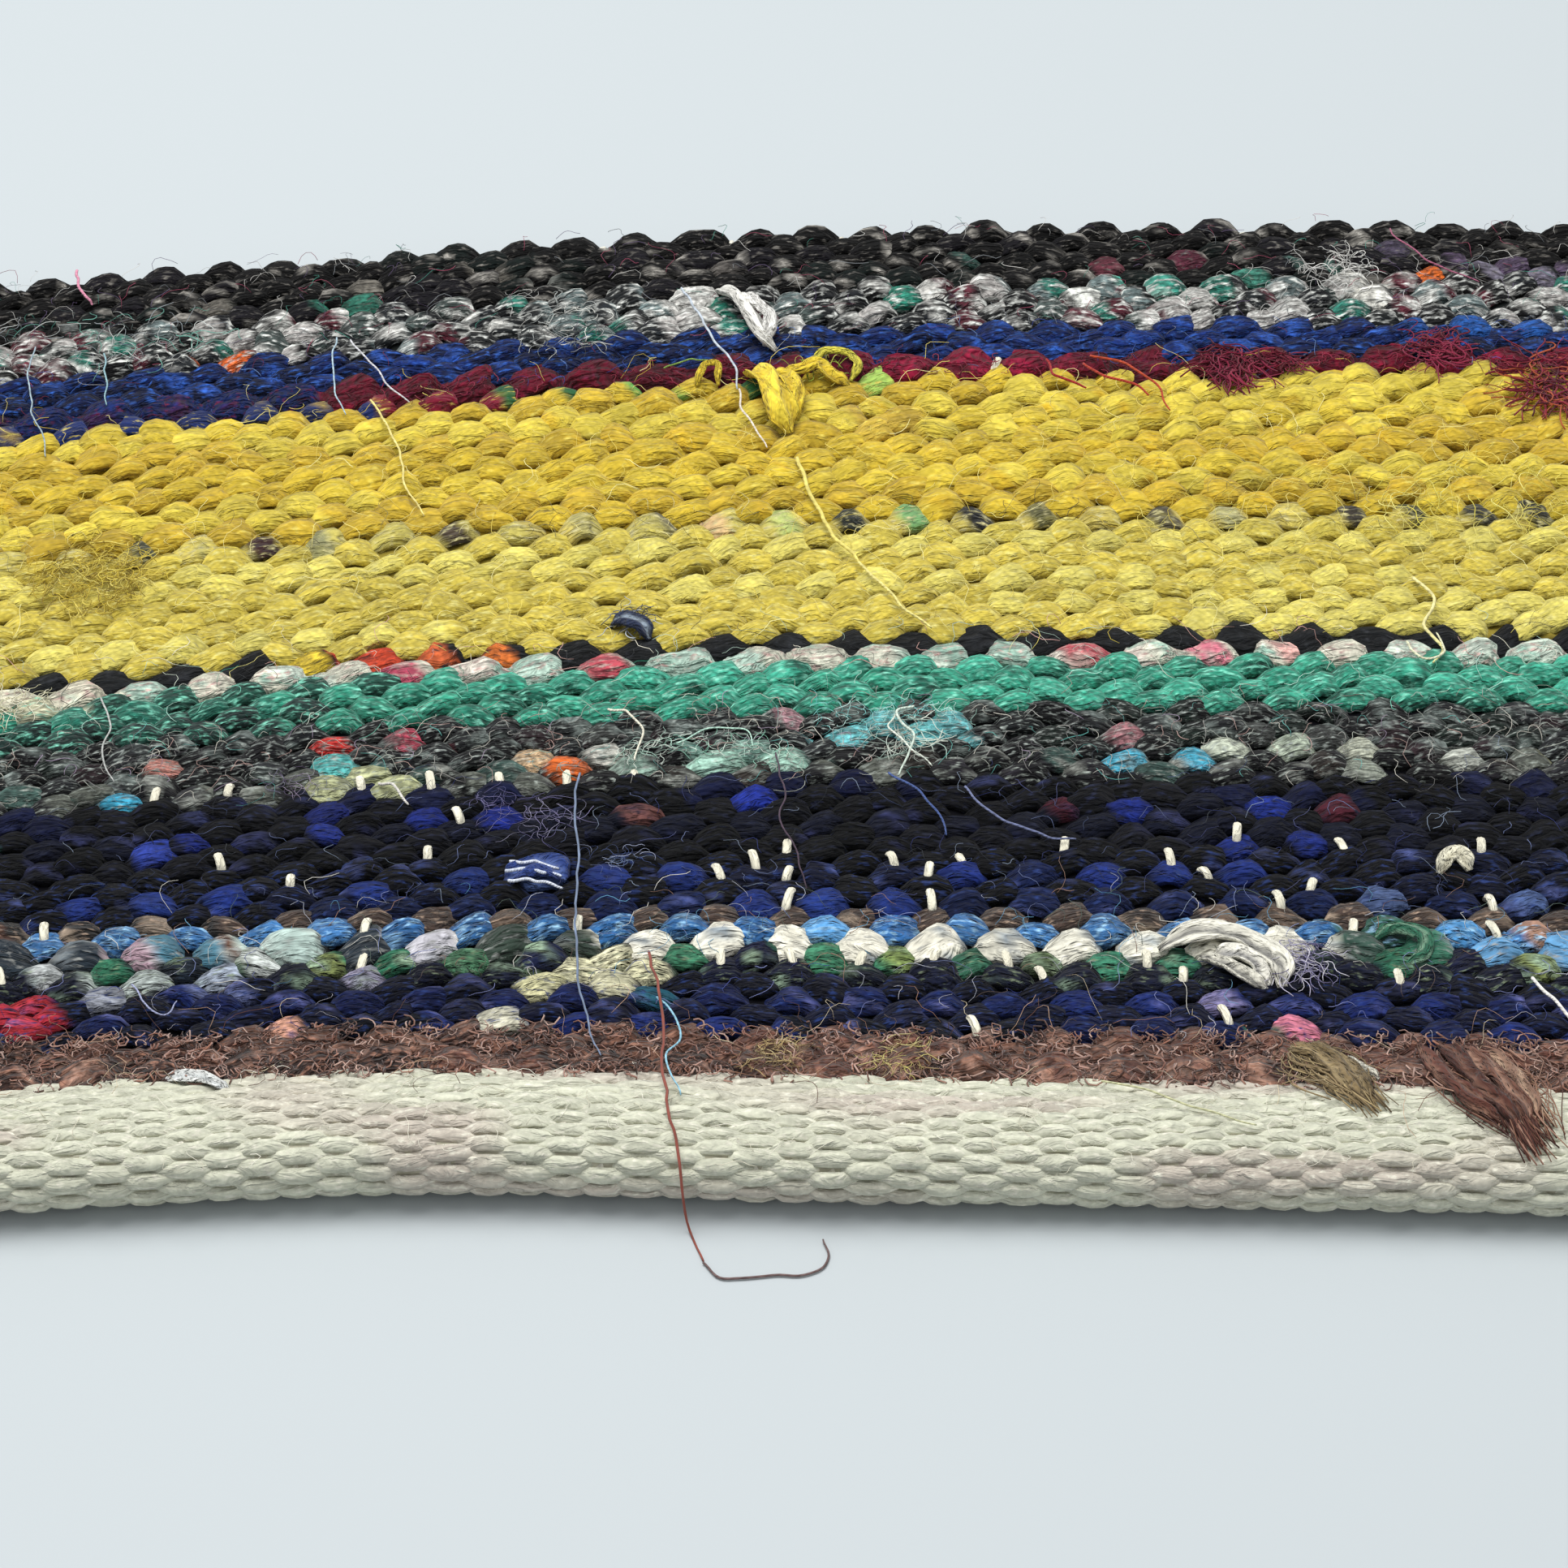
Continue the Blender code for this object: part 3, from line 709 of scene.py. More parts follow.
def rag_paths(stripe, first_row, first_y):
    """Where a stripe's rows run, how wide and thick they are, and how far over a warp (-1 to 1)."""
    row = first_row + np.arange(stripe.rows)[:, None]
    y = first_y + stripe.pitch * (np.arange(stripe.rows)[:, None] + 0.5)
    x = np.linspace(-WIDTH / 2, WIDTH / 2, STEPS + 1)[None, :] + 0 * y
    y = y + 0.65 * cloud(x, y, 19, 9, 4)       # no row is quite straight
    count = warp_count(x, y)

    def hand(layer, reach=1.0):
        """Chance that changes from hump to hump."""
        return cloud(count / reach, row * 5.7, 1, 1, layer)

    phase = math.pi * (count - row)
    over = np.cos(phase)                       # 1 over a warp, -1 under it
    high = 1.35 * over - 0.35 * over ** 3      # the same, but flatter at the top
    spread = 1 - (1 - np.abs(over)) ** 2       # 0 only where it crosses between two warps
    thick = np.sqrt((top_at(y) - under_at(y)) / BODY_THICK)      # more room behind the hem
    # Some humps, and some lengths of rag, are fuller than others.
    full = 1 + 0.22 * hand(6) + 0.16 * cloud(x, row * 23.0, 37, 1, 7)
    for patch in PATCHES.get(stripe.name, ()):
        full[patch.row] *= 1 + (patch.puff - 1) * within(patch, x[patch.row])
    # A slack rag stays near the top of the cloth, where a tight one dives under its warps.
    slack = 0.7 * (1 - stripe.climb)
    climb = HUMP * thick * (slack + stripe.climb * high * (1 + 0.25 * hand(5)))
    height = (top_at(y) + under_at(y)) / 2 + climb
    # Each hump is pushed a little to the front or the back, and slants where it crosses.
    y = y + 0.42 * hand(4, 1.3) + stripe.pitch * np.sin(phase) * (0.08 + 0.36 * hand(8))
    half_wide = stripe.pitch * (0.66 + 0.32 * spread) * (1 + 0.18 * hand(9)) * np.sqrt(full)
    half_thick = RAG_HALF * stripe.loft * thick * full * (1 + 0.32 * (1 - over ** 2))
    return Path(row, x, y, height, over, half_wide, half_thick)


# %% [markdown]
# The skin of a rag
#
# A torn strip folds in on itself as it is beaten down. Three and five shallow lobes run round the
# rag and twist along it, and a cloud crumples them, so no crease runs straight for long. The skin
# stays one closed tube. Shade is painted into its colour: it is darker where the rag dives under a
# warp and on its underside.

# %% Skins of the rags
AROUND = 11               # places round a rag
TWIST = 17                # millimetres to one turn of the twist


def rag_rows(stripe, first_row, first_y):
    """Points and colours of a stripe's rows."""
    path = rag_paths(stripe, first_row, first_y)
    row, x, over = path.row, path.x, path.over
    slope = np.gradient(path.height, axis=1) / np.gradient(x, axis=1)
    lean = 1 / np.sqrt(1 + slope ** 2)
    # The places round the rag lie closer together on its face than underneath.
    angle = np.linspace(0, 2 * math.pi, AROUND + 1)[None, None, :]
    turn = angle + 0.30 * np.cos(angle)
    twist = x * 2 * math.pi / TWIST + 1.8 * cloud(x, row * 19.0, 9, 1, 9)
    crease = 0.6 * np.cos(3 * turn + twist[..., None] + row[..., None])
    crease = crease + 0.5 * np.cos(5 * turn - 1.6 * twist[..., None] + 2.0 * row[..., None])
    ring = turn * RAG_ROUND / (2 * math.pi)
    crumple = cloud(x[..., None] + 0.6 * ring, ring + row[..., None] * 13.0, 3.1, 1.7, 2)
    reach = 1 + stripe.lobe * (crease + 1.1 * crumple)
    out = path.half_thick[..., None] * reach * np.sin(turn)
    px = x[..., None] - out * (slope * lean)[..., None]
    py = path.y[..., None] + path.half_wide[..., None] * reach * np.cos(turn)
    pz = np.maximum(path.height[..., None] + out * lean[..., None], REST)
    oblique = px + 1.4 * np.cos(turn)          # a rag is joined on a slant
    tint = [dye_row(stripe, i, first_row + i, oblique[i], ring[0] + 0 * oblique[i])
            for i in range(stripe.rows)]
    # Painted shade: darker where the rag dives under a warp and round its underside.
    hollow = ease(0.5 * over[..., None] + 0.5 * np.sin(turn), -0.45, 1.15)
    return lay(px, py, pz), np.stack(tint) * (0.58 + 0.42 * hollow)[..., None]


# %% [markdown]
# The finish of each stripe
#
# A rag is known by its surface. Mint and yellow are jersey, so they get stitches. Most of the navy,
# black, blue, green and white is shirting, with fine ribs. Marl and mixed rags are full of flecks.
# Each line names only what differs from plain cloth. Dark rags get little sheen, because with more
# of it they would look dusty.

# %% Finishes
FINISH = {
    "brown_chenille": dict(fleck="#8E6654", flecks=0.6, crease=1.1, shade=0.5, mottle=0.4),
    "navy_rag": dict(fleck="#24386E", flecks=0.30, fleck_size=0.4, crease=0.6, mottle=0.3,
                     rib=0.08, sheen=0.04),
    "green_rag": dict(fleck="#7E8C70", flecks=0.15, crease=1.0, mottle=0.45, rib=0.08, sheen=0.05),
    "white_rag": dict(fleck="#9A9C98", flecks=0.22, crease=0.7, mottle=0.18, rib=0.08),
    "light_blue_rag": dict(fleck="#9CCAEA", flecks=0.4, crease=0.7, mottle=0.3, rib=0.10),
    "thin_brown_rag": dict(fleck="#A8907C", flecks=0.3, crease=0.8, mottle=0.35),
    "navy_and_black_rag": dict(fleck="#24366A", flecks=0.30, crease=0.6, mottle=0.3, rib=0.08,
                               sheen=0.03),
    "black_rag_low": dict(fleck="#1C2032", flecks=0.3, crease=0.6, mottle=0.3, rib=0.06, sheen=0.02),
    "black_rag_high": dict(fleck="#20253C", flecks=0.3, crease=0.6, mottle=0.3, rib=0.06, sheen=0.02),
    "mixed_short_rag": dict(fleck="#9EA69E", flecks=0.30, fleck_size=0.45, crease=0.8, mottle=0.45,
                            sheen=0.05),
    "grey_marl_rag": dict(fleck="#A0A8A2", flecks=0.40, fleck_size=0.40, crease=0.8, mottle=0.5,
                          sheen=0.05),
    "mint_jersey": dict(fleck="#8CE4C8", flecks=0.45, fleck_size=0.45, crease=0.35, mottle=0.3,
                        stitch=0.25, stitch_pitch=0.62),
    "cream_rag": dict(fleck="#C9A8A0", flecks=0.4, crease=0.9, mottle=0.28),
    "black_rag": dict(fleck="#2A2C30", flecks=0.3, crease=0.5, mottle=0.3, sheen=0.03),
    "pale_yellow_rag": dict(fleck="#DCD27C", flecks=0.35, crease=0.38, shade=0.14, mottle=0.14,
                            stitch=0.12, stitch_pitch=0.55),
    "spotted_rag": dict(fleck="#C8C08A", flecks=0.4, crease=0.6, shade=0.15, mottle=0.18),
    "bright_yellow_rag": dict(fleck="#DECB5C", flecks=0.15, crease=0.45, shade=0.18, mottle=0.14,
                              stitch=0.08, stitch_pitch=0.55),
    "dark_red_rag": dict(fleck="#6A1A3A", flecks=0.25, fleck_size=0.45, crease=1.2, mottle=0.5,
                         sheen=0.05),
    "royal_blue_rag": dict(fleck="#2E5CB0", flecks=0.42, fleck_size=0.5, crease=1.2, mottle=0.5,
                           sheen=0.04),
    "grey_mixed_rag": dict(fleck="#E0E2DC", flecks=0.5, fleck_size=0.5, crease=1.0, mottle=0.5,
                           sheen=0.05),
    "black_speckled_rag": dict(fleck="#7A7670", flecks=0.22, fleck_size=0.5, crease=0.8, mottle=0.5,
                               sheen=0.02),
}


# %% [markdown]
# Weaving
#
# The stripes are woven in order from the hem, each from the row and the place where the last one
# stopped. One stripe is one piece, because it is one kind of rag.

# %% Weaving the stripes
row_now, y_now = 1, RAG_START
for stripe in STRIPES:
    points, colours = rag_rows(stripe, row_now, y_now)
    finish = cloth(stripe.name, stripe.rows, **FINISH[stripe.name])
    strands("weft_" + stripe.name, points, colours, finish)
    row_now += stripe.rows
    y_now += stripe.rows * stripe.pitch


# %% [markdown]
# The turned hem
#
# The end of the cloth is woven in cotton only, about eight rows to the centimetre, and turned
# under twice. One path runs through all its layers, from the tucked edge to the first brown row:
# straight runs joined by half turns, as a strip of paper would fold.

# %% The path through the hem
def path_points(step):
    """The hem's middle as (y, z, y and z of the face's direction), from the tucked edge out."""
    points = []

    def line(y_from, y_to, z, face):
        count = max(1, round(abs(y_to - y_from) / step))
        for i in range(count):
            points.append((y_from + (y_to - y_from) * i / count, z, 0.0, face))

    def turn(centre_y, centre_z, radius, start, end):
        count = max(1, round(math.radians(abs(end - start)) * radius / step))
        for i in range(count):
            angle = math.radians(start + (end - start) * i / count)
            points.append((centre_y + radius * math.cos(angle), centre_z + radius * math.sin(angle),
                           math.cos(angle), math.sin(angle)))

    # The tucked layer, the turn behind it, the layer on the floor, the front turn, the face.
    half = HEM_THICK / 2
    line(FRONT_Y, BACK_Y, LAYER_STEP + half, 1.0)
    turn(BACK_Y, TURN_RADIUS, TURN_RADIUS - half, 90, -90)
    line(BACK_Y, FRONT_Y, half, -1.0)
    turn(FRONT_Y, FRONT_RADIUS, FRONT_RADIUS - half, 270, 90)
    y = FRONT_Y
    while y < RAG_START:
        points.append((y, top_at(y) - half, 0.0, 1.0))
        y += step
    return np.array(points)


# %% [markdown]
# The fine rows of the hem
#
# They are woven like the rags, over and under the same warps, only in thin yarn and packed so
# close that the warps hardly show. The turned edge is rubbed by feet and brooms, so patches of it
# are a duller, browner white.

# %% The hem's rows
HEM_HALF_THICK = 0.66
HEM_CLIMB = 0.42          # how far a row's middle leaves the cloth's middle
HEM_CLOSE = 0.86          # rows lie this much closer than measured, to cover the outer face
HEM_STEPS = 200
HEM_AROUND = 7
HEM_CLEAN, HEM_WORN = "#C8C9B5", "#BEB5A8"


def hem_rows():
    """Points and colours of the fine cotton rows, spaced evenly over the hem's outside."""
    path = path_points(HEM_ROW * HEM_CLOSE)
    row = np.arange(len(path))[:, None]
    x = np.linspace(-WIDTH / 2, WIDTH / 2, HEM_STEPS + 1)[None, :] + 0.0 * row
    phase = math.pi * (warp_count(x, row * HEM_ROW) - row)
    over = np.cos(phase)
    over = np.sign(over) * np.abs(over) ** 0.5
    packed = 1 - 0.45 * ease(path[:, :1], FRONT_Y + 1.0, 10.0)
    out = HEM_CLIMB * packed * over * (1 + 0.40 * cloud(x, row * 5.0, 5, 2, 6))
    out = out + 0.10 * cloud(x, row * 3.0, 6, 2, 0)
    along = 0.12 * cloud(x, row * 2.0, 12, 3, 1) + 0.10 * cloud(x, row * 6.0, 3, 2, 4)
    y_mid, z_mid, face_y, face_z = [path[:, i][:, None] for i in range(4)]
    half_wide = HEM_ROW * (0.64 + 0.22 * np.abs(over))
    slope = np.gradient(out, axis=1) / np.gradient(x, axis=1)
    lean = 1 / np.sqrt(1 + slope ** 2)
    turn = np.linspace(0, 2 * math.pi, HEM_AROUND + 1)[None, None, :]
    lift = out[..., None] + HEM_HALF_THICK * np.sin(turn) * lean[..., None]
    slide = along[..., None] + half_wide[..., None] * np.cos(turn)
    px = x[..., None] - HEM_HALF_THICK * np.sin(turn) * (slope * lean)[..., None]
    py = y_mid[..., None] + face_y[..., None] * lift - face_z[..., None] * slide * -1
    pz = z_mid[..., None] + face_z[..., None] * lift - face_y[..., None] * slide
    clean, worn = tones_of(HEM_CLEAN), tones_of(HEM_WORN)
    dirt = ease(cloud(x, row * 1.15, 16, 5, 8), 0.0, 0.9)[..., None, None]
    tone = clean + (worn - clean) * dirt
    shade = 1 + 0.05 * cloud(x, row * 9.0, 20, 1, 2) + 0.04 * cloud(x, row * 7.0, 5, 1, 3)
    # Painted shade: each row is darker where it dives between its humps and on the side that faces into
    # the cloth, most round the front turn.
    depth = 0.16 * packed[..., None]
    hollow = 1 - depth + depth * ease(0.6 * over[..., None] + 0.4 * np.sin(turn), -0.6, 1.0)
    return lay(px, py, np.maximum(pz, REST)), (shade[..., None] * hollow)[..., None] * tone


hem_points, hem_colours = hem_rows()
cotton = cloth("cotton_hem_yarn", len(hem_points), around=4.5, fleck="#DEDBCA", flecks=0.3,
               fleck_size=0.5, crease=0.26, shade=0.2, mottle=0.10, roughness=0.95)
strands("weft_hem", hem_points, hem_colours, cotton)


# %% [markdown]
# The warps
#
# Cream cotton cords run the whole length, from the tucked edge of the hem to the far cut, and every
# row bends round them. They stay nearly straight, because they were stretched on the loom. Each
# one is found by asking where the count of warps reaches its number, so it lies under its humps.

# %% The warps
WARP_STEP = 3.6
WARP_AROUND = 5
WARP_TONE = "#E6E2D2"
WARP_FLAT = 0.8           # how flat the rows press a warp


def warp_place(number, y):
    """Where warp number lies at y, found by closing in on it."""
    x = WARP_PITCH * number + 0.0 * y
    for _ in range(4):
        x = x - WARP_PITCH * (warp_count(x, y) - number)
    return x


def warps():
    """Points and colours of all the warps, from the tucked edge to the far cut."""
    hem = path_points(WARP_STEP)
    body_y = np.arange(RAG_START, LENGTH, WARP_STEP)
    body_y = np.append(body_y, LENGTH)
    middle = (top_at(body_y) + under_at(body_y)) / 2
    y = np.concatenate([hem[:, 0], body_y])[None, :]
    z = np.concatenate([hem[:, 1], middle])[None, :]
    face_y = np.concatenate([hem[:, 2], 0 * body_y])[None, :]
    face_z = np.concatenate([hem[:, 3], 0 * body_y + 1])[None, :]
    half = round(WIDTH / WARP_PITCH / 2) - 1
    number = np.arange(-half, half + 1)[:, None]
    x = warp_place(number, y + 0 * number)
    turn = np.linspace(0, 2 * math.pi, WARP_AROUND + 1)[None, None, :]
    radius = WARP_THICK / 2
    px = x[..., None] + radius * np.cos(turn)
    lift = radius * WARP_FLAT * np.sin(turn)
    py = y[..., None] + face_y[..., None] * lift + 0 * px
    pz = z[..., None] + face_z[..., None] * lift + 0 * px
    return lay(px, py, pz), np.ones((*x.shape, 1)) * tones_of(WARP_TONE)


warp_points, warp_colours = warps()
warp_cotton = cloth("cotton_warp_yarn", len(warp_points), length=210, around=4.0, crease=0.2)
strands("warps", warp_points, warp_colours, warp_cotton)


# %% [markdown]
# Warps that show
#
# Where a row was beaten less hard, a cream warp shows as a short dash between the humps. Each line
# of the list is one warp, counted from the middle, and how far from the hem it shows. The dash is
# then moved to the nearest row that dives under that warp, because only there can a warp show.

# %% Where warps show
DASHES = (
    (-18, 70), (-16, 72), (-16, 57), (-12, 70), (-10, 70), (-8, 71), (-6, 70), (-4, 72), (-14, 50),
    (-10, 58), (-1, 54), (0, 58), (3, 54), (5, 55), (4, 51), (0, 50), (-2, 50), (8, 57), (11, 55),
    (12, 51), (15, 48), (16, 56), (20, 57), (20, 49), (14, 46), (16, 44), (20, 42), (-21, 44),
    (-12, 42), (-12, 37), (-2, 35), (0, 45), (0, 36), (2, 36), (6, 35), (7, 33), (10, 37), (11, 33),
    (12, 29), (5, 28), (7, 154), (4, 36), (4, 45), (-6, 43), (-22, 36), (17, 36), (-9, 63), (13, 61),
)
DASH_LONG = 2.7
DASH_WIDE = 1.05
DASH_FLAT = 0.7
DASH_TONE = "#EBE6D0"
print(len(DASHES), "warps show")


# %% [markdown]
# Free strands
#
# Raised warps, hairs, threads, torn strips and tufts are all strands that lie free. One function
# runs a smooth path through a few places, and another wraps a ring of points round a path. The
# ring stands upright on the cloth, so a flat strip keeps its flat side down.

# %% Paths and tubes
def run_through(places, steps):
    """A smooth path through the given places: a Catmull-Rom curve, straight at its two ends."""
    places = np.array(places, float)
    ends = np.vstack([2 * places[0] - places[1], places, 2 * places[-1] - places[-2]])
    at = np.linspace(0, len(places) - 1, steps + 1)
    first = np.minimum(at.astype(int), len(places) - 2)
    t = (at - first)[:, None]
    a, b, c, d = [ends[first + i] for i in range(4)]
    curve = 2 * b + (c - a) * t + (2 * a - 5 * b + 4 * c - d) * t ** 2
    return 0.5 * (curve + (3 * b - a - 3 * c + d) * t ** 3)


def tube(path, wide, high=None, around=3, pleats=0.0):
    """Points round strands that follow path. Half sizes wide and high are in millimetres."""
    wide = np.broadcast_to(wide, path.shape[:2])
    high = wide if high is None else np.broadcast_to(high, path.shape[:2])
    # Across is level and square to the path. It leans a little, so that an upright path has one.
    ahead = np.gradient(path, axis=1)
    across = np.cross(ahead, (0.06, 0.03, 1.0))
    across = across / (np.linalg.norm(across, axis=-1, keepdims=True) + 1e-9)
    up = np.cross(across, ahead)
    up = up / (np.linalg.norm(up, axis=-1, keepdims=True) + 1e-9)
    turn = np.linspace(0, 2 * math.pi, around + 1)[None, None, :, None]
    ring = np.cos(turn) * (across * wide[..., None])[:, :, None]
    ring = ring + np.sin(turn) * (up * high[..., None])[:, :, None]
    ring = ring + up[:, :, None] * np.broadcast_to(pleats, ring.shape[:3])[..., None]
    body = path[:, :, None] + ring
    return lay(body[..., 0], body[..., 1], np.maximum(body[..., 2], REST))


# %% [markdown]
# The dashes
#
# A dash is laid through five places: it starts inside the cloth, comes up steeply, lies on the face
# for about three millimetres and goes down again. Its ends stay buried, so no cut end shows.

# %% Raised warps
def raised_warps():
    """Short lengths of warp that rise out of the cloth and sink back into it."""
    draw = np.random.default_rng(21)
    middles = RAG_START + np.cumsum(PITCHES) - np.array(PITCHES) / 2
    paths = []
    for number, near in DASHES:
        dives = np.flatnonzero((np.arange(1, ROW_COUNT + 1) - number) % 2)
        y = middles[dives[np.argmin(np.abs(middles[dives] - near))]]
        x = float(warp_place(number, np.array(y)))
        half = DASH_LONG * draw.uniform(0.6, 1.2) / 2
        slant = draw.uniform(-0.4, 0.4)
        rise = draw.uniform(-0.6, 0.0)
        low, top = top_at(y) / 2, top_at(y) + rise
        paths.append(run_through([(x - slant, y - half - 0.6, low), (x - slant, y - half, top - 0.5),
                                  (x, y, top), (x + slant, y + half, top - 0.5),
                                  (x + slant, y + half + 0.6, low)], 12))
    return tube(np.array(paths), DASH_WIDE / 2, DASH_WIDE / 2 * DASH_FLAT, 8)


dash_points = raised_warps()
dash_tint = np.ones((*dash_points.shape[:2], 1)) * tones_of(DASH_TONE)
strands("raised_warps", dash_points, dash_tint,
                      cloth("cotton_warp_raised", len(dash_points) / 4, length=40, around=4.0,
                            crease=0.25, shade=0.2), columns=4)


# %% [markdown]
# Brown chenille
#
# The first three rows are a looped, fluffy brown yarn. Its pile is made of short curls that stand
# out of the humps in every direction, each a thin strand bent round by one to one and a half turns.

# %% Chenille curls
CURLS = 2300
CURL_STEPS = 6
CURL_TONES = "#6E4A3C #84594A #966E5E #3E241C #A88274 #7A5546 #4E3026 #B8988A #8E5E4A"
CHENILLE_END = RAG_START + STRIPES[0].rows * STRIPES[0].pitch


def curls():
    """Points and colours of the brown pile."""
    draw = np.random.default_rng(31)
    along = np.linspace(0, 1, CURL_STEPS + 1)[None, :]
    column = by_strand(draw, CURLS)
    x, y = column(-WIDTH / 2 + 1, WIDTH / 2 - 1), column(RAG_START - 0.9, CHENILLE_END + 0.2)
    size, heading, turns = column(0.35, 1.0), column(0, 2 * math.pi), column(0.7, 1.5)
    angle = 2 * math.pi * turns * along + column(0, 2 * math.pi)
    tilt, drift = column(0.1, 0.6), column(0.4, 2.4)
    flat = size * np.cos(angle)
    side = size * np.sin(angle) * (1 - tilt) + drift * (along - 0.5)
    px = x + flat * np.cos(heading) - side * np.sin(heading)
    py = y + flat * np.sin(heading) + side * np.cos(heading)
    pz = top_at(y) + column(-1.0, 0.25) + size * tilt * np.sin(angle)
    tint = pick_tones(draw, CURL_TONES, CURLS) * (0.8 + 0.4 * along)[..., None]
    return tube(np.stack([px, py, pz], axis=-1), column(0.06, 0.13)), tint


curl_points, curl_tint = curls()
strands("chenille_pile", curl_points, curl_tint,
                      cloth("acrylic_chenille_pile", 50, length=60, around=1.0, crease=0.05,
                            shade=0.3, sheen=0.3), columns=30)


# %% [markdown]
# Lint and stray hairs
#
# Torn cotton sheds. Fine hairs lie on every stripe, most of all where torn edges meet, and they
# take the colours of their neighbours. Each line below scatters some over an area: from and to
# along a row, from and to away from the hem, how many, how long, how high they arch, and colours.

# %% Stray hairs
Hairs = namedtuple("Hairs", "x_from x_to y_from y_to count shortest longest lift tones")
HAIR_AREAS = (
    Hairs(-119, 119, 14, 26, 130, 3, 9, 1.6, "#9A7058 #C4A084 #5A382C #D8C8A8"),
    Hairs(-119, 119, 0, 16, 190, 1.5, 5, 0.5, "#E6E2D0 #F0ECDC #D8D2BC"),
    Hairs(-119, 119, 25, 36, 130, 1.5, 5, 0.9, "#3F4A8C #7A82B4 #B5B4BC #1C2A6A #5A4A44"),
    Hairs(-119, 119, 34, 48, 260, 2, 7, 1.1, "#7E8AB8 #B8BCC8 #D5D2C8 #5E98B8 #8A6A5A #4A5A50"),
    Hairs(-119, 119, 46, 72, 260, 1.5, 6, 0.9, "#3E4470 #2E3A5A #5E6A90 #1E2860 #7E8CA0 #20262E"),
    Hairs(-119, 119, 69, 84, 420, 1.5, 6, 1.1, "#A8A6A0 #B89890 #7E7C7A #B4B8AC #5FA8A0 #C8C4B8"),
    Hairs(-119, 119, 82, 92, 110, 2, 6, 0.9, "#7ED8BC #C0E8D8 #2F8A70 #D8E0D0"),
    Hairs(-119, 119, 91, 98, 130, 2, 7, 1.0, "#E8E2D0 #D8A8A0 #B0C8B8 #2A2C30"),
    Hairs(-119, 119, 97, 152, 620, 2, 9, 1.0, "#F2E690 #EEDC70 #F6EEA8 #D8C048 #E8D468"),
    Hairs(40, 118, 112, 126, 120, 3, 12, 1.8, "#F0E480 #E8DC74 #D8CC58"),
    Hairs(-119, 119, 119, 124, 90, 2, 7, 1.0, "#4A4434 #7E7A54 #D8D09A #2A2622"),
    Hairs(-119, 119, 150, 162, 110, 1.5, 5, 0.8, "#3A62B4 #6A88B8 #2E4A98 #6E1A30 #24388A"),
    Hairs(-119, 119, 160, 186, 360, 1.5, 6, 1.2, "#B8B8B4 #7A7E82 #5A4A6A #3A8A78 #D0CEC8 #98405A"),
)
HAIR_STEPS = 6


def stray_hairs(area, seed):
    """Points and colours of the hairs of one area."""
    draw = np.random.default_rng(seed)
    along = np.linspace(0, 1, HAIR_STEPS + 1)[None, :]
    column = by_strand(draw, area.count)
    stretch = column(area.shortest, area.longest) / HAIR_STEPS
    heading = column(0, 2 * math.pi) + column(-2.6, 2.6) * along
    heading = heading + 0.7 * np.sin(column(3, 9) * along + column(0, 6))
    px = column(area.x_from, area.x_to) + np.cumsum(np.cos(heading), axis=1) * stretch
    py = column(area.y_from, area.y_to) + np.cumsum(np.sin(heading), axis=1) * stretch
    px = np.clip(px, -WIDTH / 2 - 1, WIDTH / 2 + 1)
    py = np.clip(py, -0.4, LENGTH + 1)
    arch = np.sin(math.pi * np.clip(along * column(0.7, 1.3), 0, 1))
    pz = top_at(py) - 0.35 + column(0.2, area.lift) * arch
    tint = pick_tones(draw, area.tones, area.count) + 0 * along[..., None]
    return tube(np.stack([px, py, pz], axis=-1), column(0.022, 0.045)), tint


scattered = [stray_hairs(area, 100 + i) for i, area in enumerate(HAIR_AREAS)]
hair_points = np.concatenate([part[0] for part in scattered])
hair_tint = np.concatenate([part[1] for part in scattered])
strands("stray_hairs", hair_points, hair_tint,
                      cloth("loose_cotton_fibre", 80, length=60, around=0.5, crease=0.02,
                            shade=0.1), columns=40)


# %% [markdown]
# Loose threads
#
# Some threads have worked free and lie over the cloth in slow curves. Each is laid through a few
# given places: x across, y from the hem, and the height above the cloth's face.

